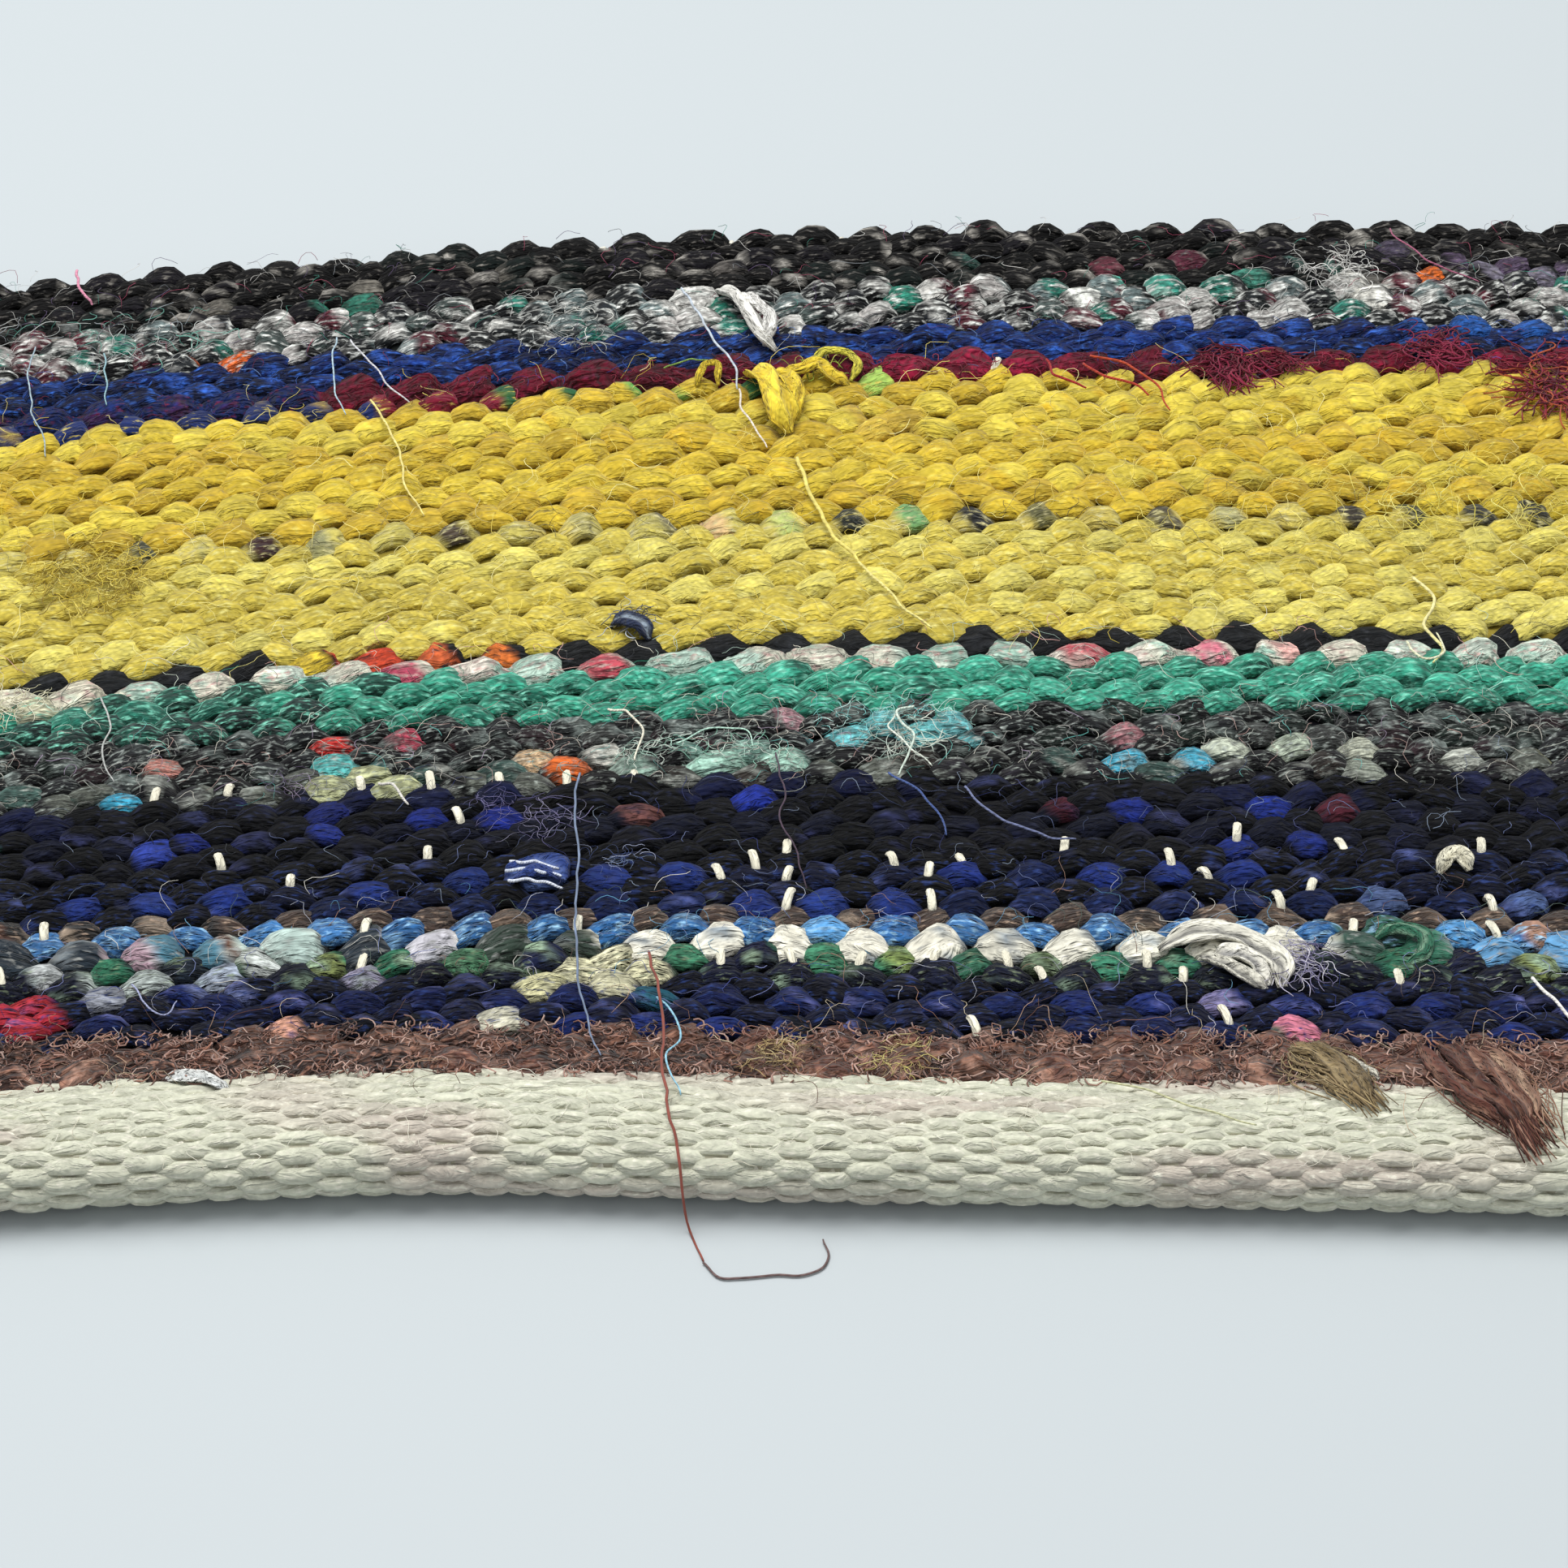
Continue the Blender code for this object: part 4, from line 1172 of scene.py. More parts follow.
# %% Loose threads
Thread = namedtuple("Thread", "name tone thick places")
THREADS = (
    Thread("red_brown", "#8A4A3E", 0.34,
           ((-15, 37, 0.2), (-14, 31, 0.9), (-13.4, 25, 0.9), (-13, 18, 1.1), (-12.6, 12, 0.6),
            (-12, 6, 0.4), (-11, 1.2, -0.6), (-10.4, -0.9, -3.8), (-9.8, -2.4, -8.1),
            (-8.6, -6.5, -8.25))),
    Thread("red_brown_end", "#6E5A58", 0.28,
           ((-8.6, -6.5, -8.25), (-6, -8.6, -8.25), (-1, -8.2, -8.25), (3.4, -7.2, -8.25),
            (4.4, -5.4, -8.25), (4.2, -2.6, -8.2))),
    Thread("blue_grey", "#74839C", 0.28,
           ((-24, 70, 0.6), (-24.2, 62, 0.7), (-23.7, 54, 0.8), (-23.4, 43, 0.8), (-22.8, 33, 0.8),
            (-21.8, 25, 0.9), (-20, 17.5, 0.7))),
    Thread("pale_blue", "#8FC0D4", 0.26,
           ((-14, 29, 0.4), (-12, 25.5, 1.0), (-11.4, 21, 1.0), (-12.4, 17, 1.0), (-11.2, 10, 0.4))),
    Thread("pale_yellow", "#DECF70", 0.52,
           ((1.5, 132, 0.2), (3, 126, 0.6), (4.6, 120, 0.7), (6.4, 115, 0.6), (9.6, 109.6, 0.6))),
    Thread("pale_yellow_tail", "#E0D484", 0.36,
           ((9.6, 109.6, 0.6), (12, 105.5, 0.6), (14.6, 101.5, 0.5), (18, 97, 0.3))),
    Thread("white_grey", "#B8C2CC", 0.34,
           ((-14, 171, 0.4), (-12.5, 166, 1.2), (-9.3, 157, 1.3), (-6.6, 151, 1.1), (-6, 146, 1.0))),
    Thread("white_grey_tail", "#E0D6C8", 0.3,
           ((-6, 146, 1.0), (-5, 141, 0.7), (-2, 134, 0.4))),
    Thread("straw", "#E4D484", 0.30,
           ((-54.5, 149, 0.4), (-52, 143, 0.7), (-50, 137, 0.7), (-48.5, 130, 0.6), (-46, 123, 0.3))),
    Thread("denim_one", "#44588C", 0.30,
           ((12.5, 69, 0.3), (15, 65.5, 0.9), (17.4, 62, 1.0), (18.8, 57.5, 0.5))),
    Thread("denim_two", "#6A7294", 0.30,
           ((21, 66.4, 0.3), (23, 62.5, 0.8), (26, 59, 0.8), (30, 57, 0.6), (33.5, 56.5, 0.3))),
    Thread("plum", "#4A3A48", 0.22,
           ((-1, 73, 0.3), (0, 66, 0.8), (-0.4, 60, 0.8), (1.5, 54, 0.6), (2.5, 48, 0.3))),
    Thread("white_left_one", "#9CB0BA", 0.22,
           ((-101, 168, 0.4), (-100.5, 160, 1.1), (-99, 153, 1.0), (-97, 147, 0.9), (-95.6, 142, 0.3))),
    Thread("white_left_two", "#A8C0CC", 0.24,
           ((-60.4, 164, 0.4), (-60, 158, 1.1), (-59.4, 151, 1.1), (-57.6, 146, 0.5))),
    Thread("white_left_three", "#CCCCD0", 0.26,
           ((-58, 163, 0.5), (-55.4, 157, 1.2), (-52.6, 152, 1.0), (-49.6, 147.6, 0.4))),
    Thread("white_left_four", "#8FB4BC", 0.24,
           ((-91, 165, 0.4), (-90, 158, 1.1), (-89.4, 152, 0.6))),
    Thread("white_marl", "#B4B6B2", 0.24,
           ((-82, 90, 0.4), (-80.4, 84, 0.9), (-80.6, 79, 0.9), (-78.8, 73, 0.3))),
    Thread("white_knot_one", "#C8D6C8", 0.34,
           ((15.6, 81.6, 0.3), (13.4, 79.4, 1.1), (14.6, 76.4, 1.5), (15.4, 73.4, 1.4), (13.4, 68, 0.5))),
    Thread("white_knot_two", "#DCE2D4", 0.24,
           ((13.4, 80, 0.6), (12.6, 76.4, 1.2), (14.8, 72.8, 1.4), (17.2, 69.8, 0.5))),
    Thread("mint_fringe", "#BFE4D2", 0.20,
           ((-13, 75, 0.6), (-9, 77, 1.2), (-5, 76.6, 1.2), (-3.6, 74, 0.8))),
    Thread("curly_white", "#E4E0CC", 0.30,
           ((-21, 82.6, 0.3), (-18.6, 80.4, 1.3), (-16.8, 77, 1.5), (-17.4, 72, 0.8))),
    Thread("white_comma", "#DAD6CE", 0.36,
           ((-47.4, 69.4, 0.4), (-45.4, 67.6, 1.0), (-44, 64.4, 0.6))),
    Thread("cream_loop_one", "#E2D898", 0.42,
           ((78.6, 106, 0.3), (80.4, 101, 0.9), (78.8, 96, 0.9), (80.4, 91.6, 0.7), (79, 89, 0.2))),
    Thread("cream_loop_two", "#D8D8B8", 0.32,
           ((76, 93, 0.4), (78, 89, 1.0), (80.6, 90.4, 1.1), (80, 94.4, 0.6))),
    Thread("red_curve_one", "#A8382A", 0.34,
           ((40, 151, 0.6), (42, 147, 1.2), (45.6, 146, 1.1), (48, 144, 0.5))),
    Thread("red_curve_two", "#B04428", 0.32,
           ((41, 152.6, 0.6), (46, 149, 1.3), (49.4, 144.6, 1.1), (50.4, 140.6, 0.4))),
    Thread("red_curve_three", "#9A2426", 0.34,
           ((35, 151.6, 0.6), (36, 147.6, 1.1), (40, 145.4, 0.7))),
    Thread("pink_far", "#D088A0", 0.40,
           ((-97.6, 186, 0.6), (-97, 182, 1.2), (-95.4, 178.4, 1.0), (-94.4, 177, 0.4))),
    Thread("pink_far_right", "#A05A74", 0.24,
           ((84, 183, 0.5), (86, 177, 1.2), (90, 172, 1.2), (95, 169.4, 0.5))),
    Thread("green_far", "#7FA04A", 0.22,
           ((-16, 151.6, 0.7), (-12.6, 152.8, 1.2), (-9.4, 152.6, 0.8))),
    Thread("white_navy_curl", "#9AA0C0", 0.22,
           ((-72, 33, 0.4), (-70.4, 29, 1.0), (-68, 26.6, 1.0), (-66.6, 29.6, 0.6))),
    Thread("hump_stripe_one", "#D5DBE6", 0.40,
           ((-31.6, 53.0, 0.5), (-29.6, 52.6, 0.8), (-27.6, 52.1, 0.8), (-25.8, 51.6, 0.4))),
    Thread("hump_stripe_two", "#CCD4E2", 0.44,
           ((-31.8, 51.3, 0.6), (-29.6, 50.9, 1.0), (-27.4, 50.4, 1.0), (-25.4, 49.9, 0.5))),
    Thread("hump_stripe_three", "#D5DBE6", 0.40,
           ((-31.4, 49.6, 0.4), (-29.4, 49.2, 0.8), (-27.4, 48.7, 0.8), (-25.4, 48.3, 0.3))),
    Thread("white_warp_tail", "#E4E2DC", 0.42,
           ((83, 33.5, 0.4), (84.6, 30, 1.0), (86.6, 26.6, 0.8), (88.6, 25.4, 0.4))),
    Thread("olive_on_hem", "#C4C49C", 0.24,
           ((34, 14.4, 0.4), (39, 12, 0.5), (45, 8.4, 0.4), (50, 6.6, 0.3))),
)
THREAD_STEPS = 36


def thread_points():
    """Points and colours of the loose threads."""
    draw = np.random.default_rng(41)
    paths, wides, tints = [], [], []
    along = np.linspace(0, 1, THREAD_STEPS + 1)
    for thread in THREADS:
        path = run_through(thread.places, THREAD_STEPS)
        # Spun thread keeps a fine wave, and a cloud bends it out of any even curve.
        path[:, 0] += 0.16 * np.sin(along * draw.uniform(9, 16) + draw.uniform(0, 6))
        path[:, 1] += 0.16 * np.sin(along * draw.uniform(9, 16) + draw.uniform(0, 6))
        path[:, 0] += 0.22 * cloud(path[:, 0], path[:, 1], 2.3, 2.3, 6)
        path[:, 1] += 0.22 * cloud(path[:, 0], path[:, 1], 2.1, 2.1, 7)
        path[:, 2] += top_at(np.maximum(path[:, 1], 0))
        paths.append(path)
        wides.append(thread.thick / 2 * (1 - 0.35 * along ** 6))
        tints.append(tones_of(thread.tone) * (1 + 0.12 * np.sin(along * 60))[:, None])
    return tube(np.array(paths), np.array(wides), around=6), np.clip(np.array(tints), 0, 1)


threads, thread_tint = thread_points()
strands("loose_threads", threads, thread_tint,
                      cloth("cotton_sewing_thread", len(threads) / 2, length=60, around=1.2,
                            crease=0.04, shade=0.2, rib=0.05, stitch_pitch=0.5), columns=2)
print("threads:", *[thread.name for thread in THREADS])


# %% [markdown]
# Rag ends, knots and locks
#
# Where one rag stops and another starts, the weaver leaves an end: a folded strip, a knot or a
# tuft. A strip is a flattened tube, pleated lengthwise, and its two colours are the cloth and the
# colour in the hollows of its pleats. Where that second colour is darker, it is painted shade; where
# it is lighter, as in the locks, it is a lighter yarn of the rag. The table gives its half width and
# half thickness, and places as above.

# %% Folded strips
Strip = namedtuple("Strip", "name tone second half_wide half_thick places")
RAG_BITS = (
    Strip("yellow_loop", "#F0D644", "#C8A828", 1.9, 0.45,
          ((-4.6, 151.6, -0.2), (-3, 149, 1.8), (-1.6, 145, 2.7), (-0.2, 140.5, 2.2), (0.6, 138, 0.4))),
    Strip("yellow_loop_side", "#E8CC3C", "#B89620", 1.3, 0.40,
          ((-1.6, 150.6, 0.2), (0.4, 147.6, 1.8), (1.4, 144, 1.9), (1.6, 140.6, 0.2))),
    Strip("yellow_loop_back", "#E0C438", "#B89620", 1.1, 0.40,
          ((-0.6, 150.8, 0.2), (2, 149.6, 1.3), (4.4, 150.6, 1.4), (6.4, 149, 0.8), (8.6, 148, 0.0))),
    Strip("yellow_curl", "#DAD04C", "#A8A030", 0.6, 0.30,
          ((3.4, 152, 0.4), (5.6, 153.4, 1.3), (8.2, 153, 1.5), (9.8, 150.8, 1.1), (8.8, 148.8, 0.4))),
    Strip("yellow_small_loop", "#E8CC3C", "#C0A028", 0.55, 0.30,
          ((-11.6, 149.2, 0.0), (-10.6, 151.6, 1.1), (-8.8, 151.4, 1.3), (-8.8, 148.8, 0.4))),
    Strip("crumpled_white_end", "#E8E5D6", "#4A4A50", 1.6, 0.45,
          ((42, 38.6, 0.1), (46, 39.8, 0.8), (50, 40, 0.9), (53.4, 38.2, 0.9), (55.2, 35.2, 0.6),
           (55.4, 32.6, 0.0))),
    Strip("crumpled_white_fold", "#ECE9DC", "#6A6A70", 1.3, 0.40,
          ((48, 37.4, 0.4), (50.8, 37, 0.8), (53, 35, 0.8), (54, 32.8, 0.2))),
    Strip("crumpled_white_tail", "#DAD7C8", "#3A3A40", 1.1, 0.35,
          ((46.6, 37.4, 0.3), (48.8, 35.4, 0.6), (51, 33.8, 0.6), (53.6, 32.4, 0.1))),
    Strip("striped_hump", "#2A4080", "#5A70A8", 1.9, 0.45,
          ((-32, 50.4, -0.2), (-29.6, 51.6, 0.5), (-27, 52, 0.5), (-24.8, 51, -0.2))),
    Strip("cream_knot_dark", "#E6E1C8", "#B8B298", 1.1, 0.50,
          ((75.0, 52, 0.0), (76.2, 53.6, 0.5), (77.6, 54, 0.5), (78.4, 52.4, 0.0))),
    Strip("green_ring", "#2E6B52", "#8FB498", 0.9, 0.40,
          ((66, 40.6, 0.0), (68.6, 41.6, 0.5), (71.4, 40.4, 0.6), (71.4, 37.6, 0.4), (69, 36.6, 0.0))),
    Strip("navy_knot", "#26304A", "#9AA8B4", 1.2, 0.50,
          ((-21.4, 100.4, -0.2), (-19.8, 99.8, 0.7), (-18, 98.8, 0.7), (-16.4, 97.4, -0.1))),
    Strip("white_lock_far", "#ECEAE2", "#B8B6AE", 1.0, 0.50,
          ((-9, 171, 0.2), (-7, 167, 1.6), (-4.6, 162, 1.8), (-3, 157.6, 1.6), (-1, 156, 0.4))),
    Strip("white_lock_far_two", "#F0EEE8", "#C8C6C0", 0.9, 0.50,
          ((-6, 169, 0.4), (-4, 164.6, 1.9), (-1.8, 160, 2.0), (-2.4, 156.6, 0.8))),
    Strip("white_lock_hem", "#E2E4E0", "#CCD2D2", 1.0, 0.20,
          ((-66.6, 15.6, -0.2), (-64, 15.4, 0.1), (-61.4, 14.2, 0.1), (-59.4, 12.6, -0.1))),
    Strip("lock_yarn_one", "#5A342A", "#8A6654", 1.1, 0.60,
          ((69.4, 23.8, 0.1), (70.8, 17, 0.7), (73, 11.8, 0.7), (76.4, 7.8, 0.2))),
    Strip("lock_yarn_two", "#4A281F", "#7A5646", 1.2, 0.65,
          ((71.6, 23.8, 0.3), (73.4, 17.6, 1.0), (75.4, 12, 1.0), (77.6, 7.0, 0.2))),
    Strip("lock_yarn_three", "#6A4638", "#A88470", 1.1, 0.60,
          ((74, 23.6, 0.3), (75.8, 18, 1.0), (77.2, 12.6, 1.0), (78.6, 7.4, 0.3))),
    Strip("lock_yarn_four", "#8A6A58", "#BC9E84", 0.9, 0.50,
          ((76.4, 23.0, 0.1), (78, 18.2, 0.8), (79, 13.4, 0.8), (79.2, 8.8, 0.3))),
    Strip("olive_yarn_one", "#7E6C4C", "#B09C74", 1.0, 0.50,
          ((54.6, 23, 0.1), (57.6, 20.2, 0.6), (60.2, 15.6, 0.6), (61.8, 11.8, 0.1))),
    Strip("olive_yarn_two", "#6E5E42", "#A08C66", 0.9, 0.50,
          ((56.6, 23.4, 0.2), (59.6, 20.4, 0.7), (61.6, 16, 0.7), (62.8, 12, 0.2))),
    Strip("white_lock", "#DCD8C8", "#B8B4A4", 0.6, 0.40,
          ((60.6, 20.4, 0.3), (62, 18.8, 0.6), (63.8, 16.6, 0.1))),
)
STRIP_STEPS = 30
STRIP_AROUND = 20


def strip_points():
    """Points and colours of the folded strips: thin, pleated lengthwise, with their ends tucked in."""
    draw = np.random.default_rng(51)
    along = np.linspace(0, 1, STRIP_STEPS + 1)
    turn = np.linspace(0, 2 * math.pi, STRIP_AROUND + 1)
    paths, wides, highs, folds, tints = [], [], [], [], []
    for strip in RAG_BITS:
        path = run_through(strip.places, STRIP_STEPS)
        inside = ease(along, 0, 0.16) * ease(-along, -1, 0.16)      # 0 at both buried ends
        path[:, 2] += top_at(np.maximum(path[:, 1], 0)) - 0.6 * (1 - inside)
        size = np.hypot(*np.diff(path[:, :2], axis=0).T).sum()
        waves = 1 + 0.14 * np.sin(along * size / 1.3 + draw.uniform(0, 6))
        drift = draw.uniform(0, 6) + draw.uniform(1, 2.5) * np.sin(along * size / 2.2)
        # The pleats run along the strip and drift over its width. Their hollows take the second colour,
        # which is painted shade where it is darker than the cloth.
        pleat = np.sin(draw.uniform(3.6, 5.2) * np.cos(turn)[None] + drift[:, None])
        paths.append(path)
        wides.append(strip.half_wide * (0.40 + 0.60 * inside) * waves)
        highs.append(strip.half_thick * (0.5 + 0.5 * inside))
        folds.append(0.24 * strip.half_wide * inside[:, None] * pleat)
        mark = 0.75 * ease(-pleat, 0.25, 0.6)[..., None]
        one, two = tones_of(strip.tone), tones_of(strip.second)
        tints.append(one * (1 - mark) + two * mark)
    paths = np.array(paths)
    paths[..., 0] += 0.25 * cloud(paths[..., 0], paths[..., 1], 1.6, 1.6, 4)
    paths[..., 2] += 0.18 * cloud(paths[..., 0], paths[..., 1], 1.4, 1.4, 5)
    ribbons = tube(paths, np.array(wides), np.array(highs), STRIP_AROUND, np.array(folds))
    return ribbons, np.array(tints)


strips, strip_tint = strip_points()
strands("rag_ends", strips, strip_tint,
                      cloth("torn_cotton_strip", len(strips) / 2, length=30, around=8.0, crease=0.45,
                            shade=0.26, mottle=0.14, rib=0.06), columns=2)
print("strips:", *[strip.name for strip in RAG_BITS])


# %% [markdown]
# Tufts and locks
#
# A frayed end is many fibres that leave one root and spread towards a tip. `spread` is how wide
# they fan and `share` how much of the way one fibre covers: a combed lock has a share near 1, and
# a fuzz of short bits scattered along a line has almost none. Short shares also curl more. `lift`
# is how high the fibres arch.

# %% Tufts and locks
Tuft = namedtuple("Tuft", "name root tip spread count thick lift share tones")
TUFTS = (
    Tuft("brown_lock", (72, 25), (78, 7.4), 7.0, 150, 0.20, 1.4, 0.94,
         "#5A342A #70483A #43241C #8A6450 #4E2C22 #9C7866"),
    Tuft("brown_lock_light", (76, 23), (79.6, 8), 3.0, 40, 0.16, 1.3, 0.90, "#A88468 #BC9E84 #8A6450"),
    Tuft("brown_lock_wild", (71, 23), (78.6, 9), 7.0, 14, 0.09, 1.0, 0.60, "#6E4638 #8A6450 #4A2A20"),
    Tuft("olive_lock", (55.6, 24), (62, 11.8), 4.2, 90, 0.18, 1.0, 0.93,
         "#7E6C4C #8E7A58 #5A4A32 #A8946A #6A5A3E"),
    Tuft("olive_lock_wild", (55, 23), (62, 12.6), 4.6, 10, 0.09, 0.8, 0.60, "#8E7A58 #A8946A #C0AE86"),
    Tuft("dark_red_tuft", (62, 155), (56.4, 145), 5.6, 150, 0.24, 1.4, 0.45,
         "#7A1838 #861C3A #6A1028 #4E0A1C"),
    Tuft("dark_red_tuft_right", (68, 153.6), (66, 150), 5.0, 70, 0.22, 1.0, 0.35,
         "#6E1430 #7A1830 #5E0E22"),
    Tuft("dark_red_far", (83, 156), (93, 151.6), 5.0, 100, 0.22, 1.3, 0.4, "#7A1838 #861C3A #5E0E22"),
    Tuft("dark_red_edge", (100, 154), (101, 137), 4.6, 150, 0.24, 1.2, 0.35,
         "#6E1430 #7A1830 #8A2A34 #A8502E #4E1020"),
    Tuft("dark_red_fuzz", (-60, 151.4), (100, 152), 3.0, 200, 0.13, 0.8, 0.015,
         "#6E1428 #5E0A20 #7E1A34 #4A0818 #8E2440"),
    Tuft("purple_fray_end", (56.4, 40), (59, 31), 5.0, 80, 0.10, 1.3, 0.45,
         "#8A86A8 #5A5478 #B8B4C8 #D5D2DC"),
    Tuft("grey_fray_white", (-19, 76), (-16, 72), 4.0, 40, 0.10, 1.0, 0.4, "#D8E0D4 #A8C8B8 #7E9A8E"),
    Tuft("purple_fray_one", (-35, 68), (-31, 61), 4.0, 26, 0.06, 0.9, 0.4, "#7E7AA4 #6A6490 #4A4A78"),
    Tuft("purple_fray_two", (-30, 66), (-25, 56), 5.0, 32, 0.06, 1.0, 0.4, "#8A84AC #6A6490 #A8A4C0"),
    Tuft("purple_fray_three", (-59, 74), (-56, 66), 4.0, 24, 0.06, 0.9, 0.4, "#7E7A94 #5A4A6A #988AA0"),
    Tuft("lilac_fray_hump", (-23, 54), (-14, 54.6), 2.6, 26, 0.06, 0.8, 0.3,
         "#7F94B8 #A8B0CC #4A5A8A"),
    Tuft("green_curl_one", (1, 151), (10, 152), 5.0, 40, 0.13, 1.5, 0.3, "#C8D060 #8FA838 #E4DC70"),
    Tuft("navy_white_tuft", (-21, 103), (-16.4, 97), 3.0, 40, 0.12, 1.1, 0.4,
         "#B8C0C8 #2A3048 #5A6478 #1A2030"),
    Tuft("teal_fray", (3, 80.5), (23, 79.5), 5.0, 80, 0.08, 0.7, 0.14, "#8FD8D4 #5FB8B4 #C8ECE4"),
    Tuft("mint_fray", (-15, 76), (2, 73.5), 4.0, 70, 0.08, 0.7, 0.14, "#BFE4D2 #8FC8B0 #E4F0E4"),
    Tuft("white_knot_fray", (15, 82), (14, 69), 3.2, 40, 0.12, 1.3, 0.42, "#C8D4C8 #A8C0B4 #DCE2D4"),
    Tuft("yellow_ball", (-92, 120), (-78, 109), 11.0, 260, 0.12, 1.6, 0.25,
         "#C8B03A #A8902A #D8C458 #8A7420 #E4D470 #D0BC4A"),
    Tuft("tan_tuft_hem", (-4, 21), (3, 17), 6.0, 70, 0.10, 1.2, 0.4, "#B8A070 #8A7450 #D8C898 #6A5A3A"),
    Tuft("tan_tuft_hem_two", (10, 22), (16, 16), 5.0, 60, 0.10, 1.2, 0.45,
         "#B8A070 #D5C88A #8A7450 #C8BC70"),
    Tuft("curly_straw", (100, 123), (70, 118), 12.0, 44, 0.12, 1.6, 0.2, "#E8DC74 #F0E88C #D8CC58"),
    Tuft("grey_far_left", (-112, 171), (-72, 166), 12.0, 90, 0.11, 1.2, 0.12,
         "#C8CCC8 #8A9094 #6AA898 #3A4A48"),
    Tuft("grey_far_mid", (-34, 167), (-22, 158), 9.0, 90, 0.11, 1.4, 0.25,
         "#D8D8D0 #A8ACA8 #6A7070 #3A3E40"),
    Tuft("white_far_patch", (72, 170), (82, 177), 8.0, 70, 0.12, 1.4, 0.3, "#E8E6E0 #C8C8C4 #A8A8A4"),
    Tuft("marl_fuzz", (-100, 78), (100, 78), 12.0, 200, 0.09, 1.0, 0.015,
         "#A8A6A0 #B89890 #6E6C6A #C8C4B8 #9A8AA0 #4A484C"),
    Tuft("cream_left_patch", (-110, 92), (-86, 89), 6.0, 130, 0.11, 0.9, 0.15,
         "#DCD8B8 #C8C4A0 #E8E4CC"),
)
TUFT_STEPS = 8
COMBED = 0.8              # fibres with a larger share gather towards the tip, as in a lock


def tuft_points():
    """Points and colours of the tufts: loose, curling fibres between the root and the tip."""
    draw = np.random.default_rng(61)
    along = np.linspace(0, 1, TUFT_STEPS + 1)[None, :]
    parts, tints = [], []
    for tuft in TUFTS:
        column = by_strand(draw, tuft.count)
        root, tip = np.array(tuft.root, float), np.array(tuft.tip, float)
        reach = tip - root
        long = np.hypot(*reach)
        away = np.array([-reach[1], reach[0]]) / long
        # A fibre covers its share of the way, starts somewhere along it and keeps to its side.
        share = tuft.share * column(0.8, 1.2) * long
        start = column(0, 1) * np.maximum(long - share, 0.1 * long)
        side = column(-0.5, 0.5) * tuft.spread
        side = side * np.sqrt(np.clip(1.15 - (2 * start / long - 0.7) ** 2, 0.1, 1))
        # It curls as it goes, more when its share is short.
        loose = 1 - tuft.share
        turn = column(-1, 1) * 2.2 * loose + column(-1, 1) * 4.5 * loose * along
        turn = turn + column(0.2, 0.9) * np.sin(column(4, 10) * along + column(0, 6))
        stride = np.maximum(share, 2.6) / TUFT_STEPS
        go = start + np.cumsum(np.cos(turn), axis=1) * stride
        aside = side + np.cumsum(np.sin(turn), axis=1) * stride
        if tuft.share > COMBED:
            aside = aside * (1 - 0.55 * ease(go / long, 0.35, 0.75))
        px = root[0] + reach[0] / long * go + away[0] * aside
        py = root[1] + reach[1] / long * go + away[1] * aside
        dome = 1 - 0.7 * (2 * side / tuft.spread) ** 2        # a tuft is highest in its middle
        arch = np.sin(math.pi * (0.08 + 0.86 * along))
        pz = top_at(np.maximum(py, 0)) - 0.1 + tuft.lift * column(0.15, 1.0) * dome * arch
        picks = pick_tones(draw, tuft.tones, tuft.count)
        parts.append(tube(np.stack([px, py, pz], axis=-1), tuft.thick / 2 * column(0.6, 1.2)))
        tints.append(picks + 0 * along[..., None])
    return np.concatenate(parts), np.concatenate(tints)


tufts, tuft_tint = tuft_points()
strands("tufts_and_locks", tufts, tuft_tint,
                      cloth("frayed_yarn_fibre", 60, length=60, around=1.0, crease=0.03, shade=0.2),
                      columns=40)
print("tufts:", *[tuft.name for tuft in TUFTS])


# %% [markdown]
# The ground of the cloth
#
# Between the strands a weave is not empty: fibres and lint fill it. A thin sheet in the middle of
# the cloth, folded with the hem, stands for that, and its length laid flat is worked out and
# printed. Its colour is painted shade, a dark tone of each stripe, so the gaps between the strands
# look shadowed.

# %% The ground's painted shades
GROUND_THICK = 1.2
GROUND_ACROSS = 36
GROUND_IN_HEM, GROUND_AT_RAMP = 0.45, 0.40      # share of that thickness, up to 1 further back
SPECKS = 900.0            # specks of lint to the metre
# Painted shade: the sheet shows in the gaps between strands, so each stripe's part of it is a dark tone
# of that stripe.
GROUND_PAINTED_SHADES = {
    "hem": "#B4B09C",
    "brown_chenille": "#33201A",
    "mint_jersey": "#0C3A2E",
    "cream_rag": "#3A3630",
    "pale_yellow_rag": "#8F7F34",
    "spotted_rag": "#55491F",
    "bright_yellow_rag": "#937A1E",
    "royal_blue_rag": "#0B1838",
    "grey_mixed_rag": "#1C201F",
}
DARK_GAP_SHADE = "#0B0B10"    # between the rows of every other stripe


def stripe_at(y):
    """The name of the stripe at y."""
    edge = RAG_START
    if y < edge:
        return "hem"
    for stripe in STRIPES:
        edge += stripe.rows * stripe.pitch
        if y < edge:
            break
    return stripe.name


# %% The ground sheet
def thicken(piece, fullness):
    """Gives the sheet its thickness, less where fullness is below 1, as in the flat hem."""
    group = piece.vertex_groups.new(name="fullness")
    for index, here in enumerate(fullness):
        group.add([index], float(here), "REPLACE")
    wall = piece.modifiers.new("thickness", "SOLIDIFY")
    wall.thickness = GROUND_THICK * MM
    wall.vertex_group = "fullness"
    wall.thickness_vertex_group = 0.0
    wall.offset = 0.0


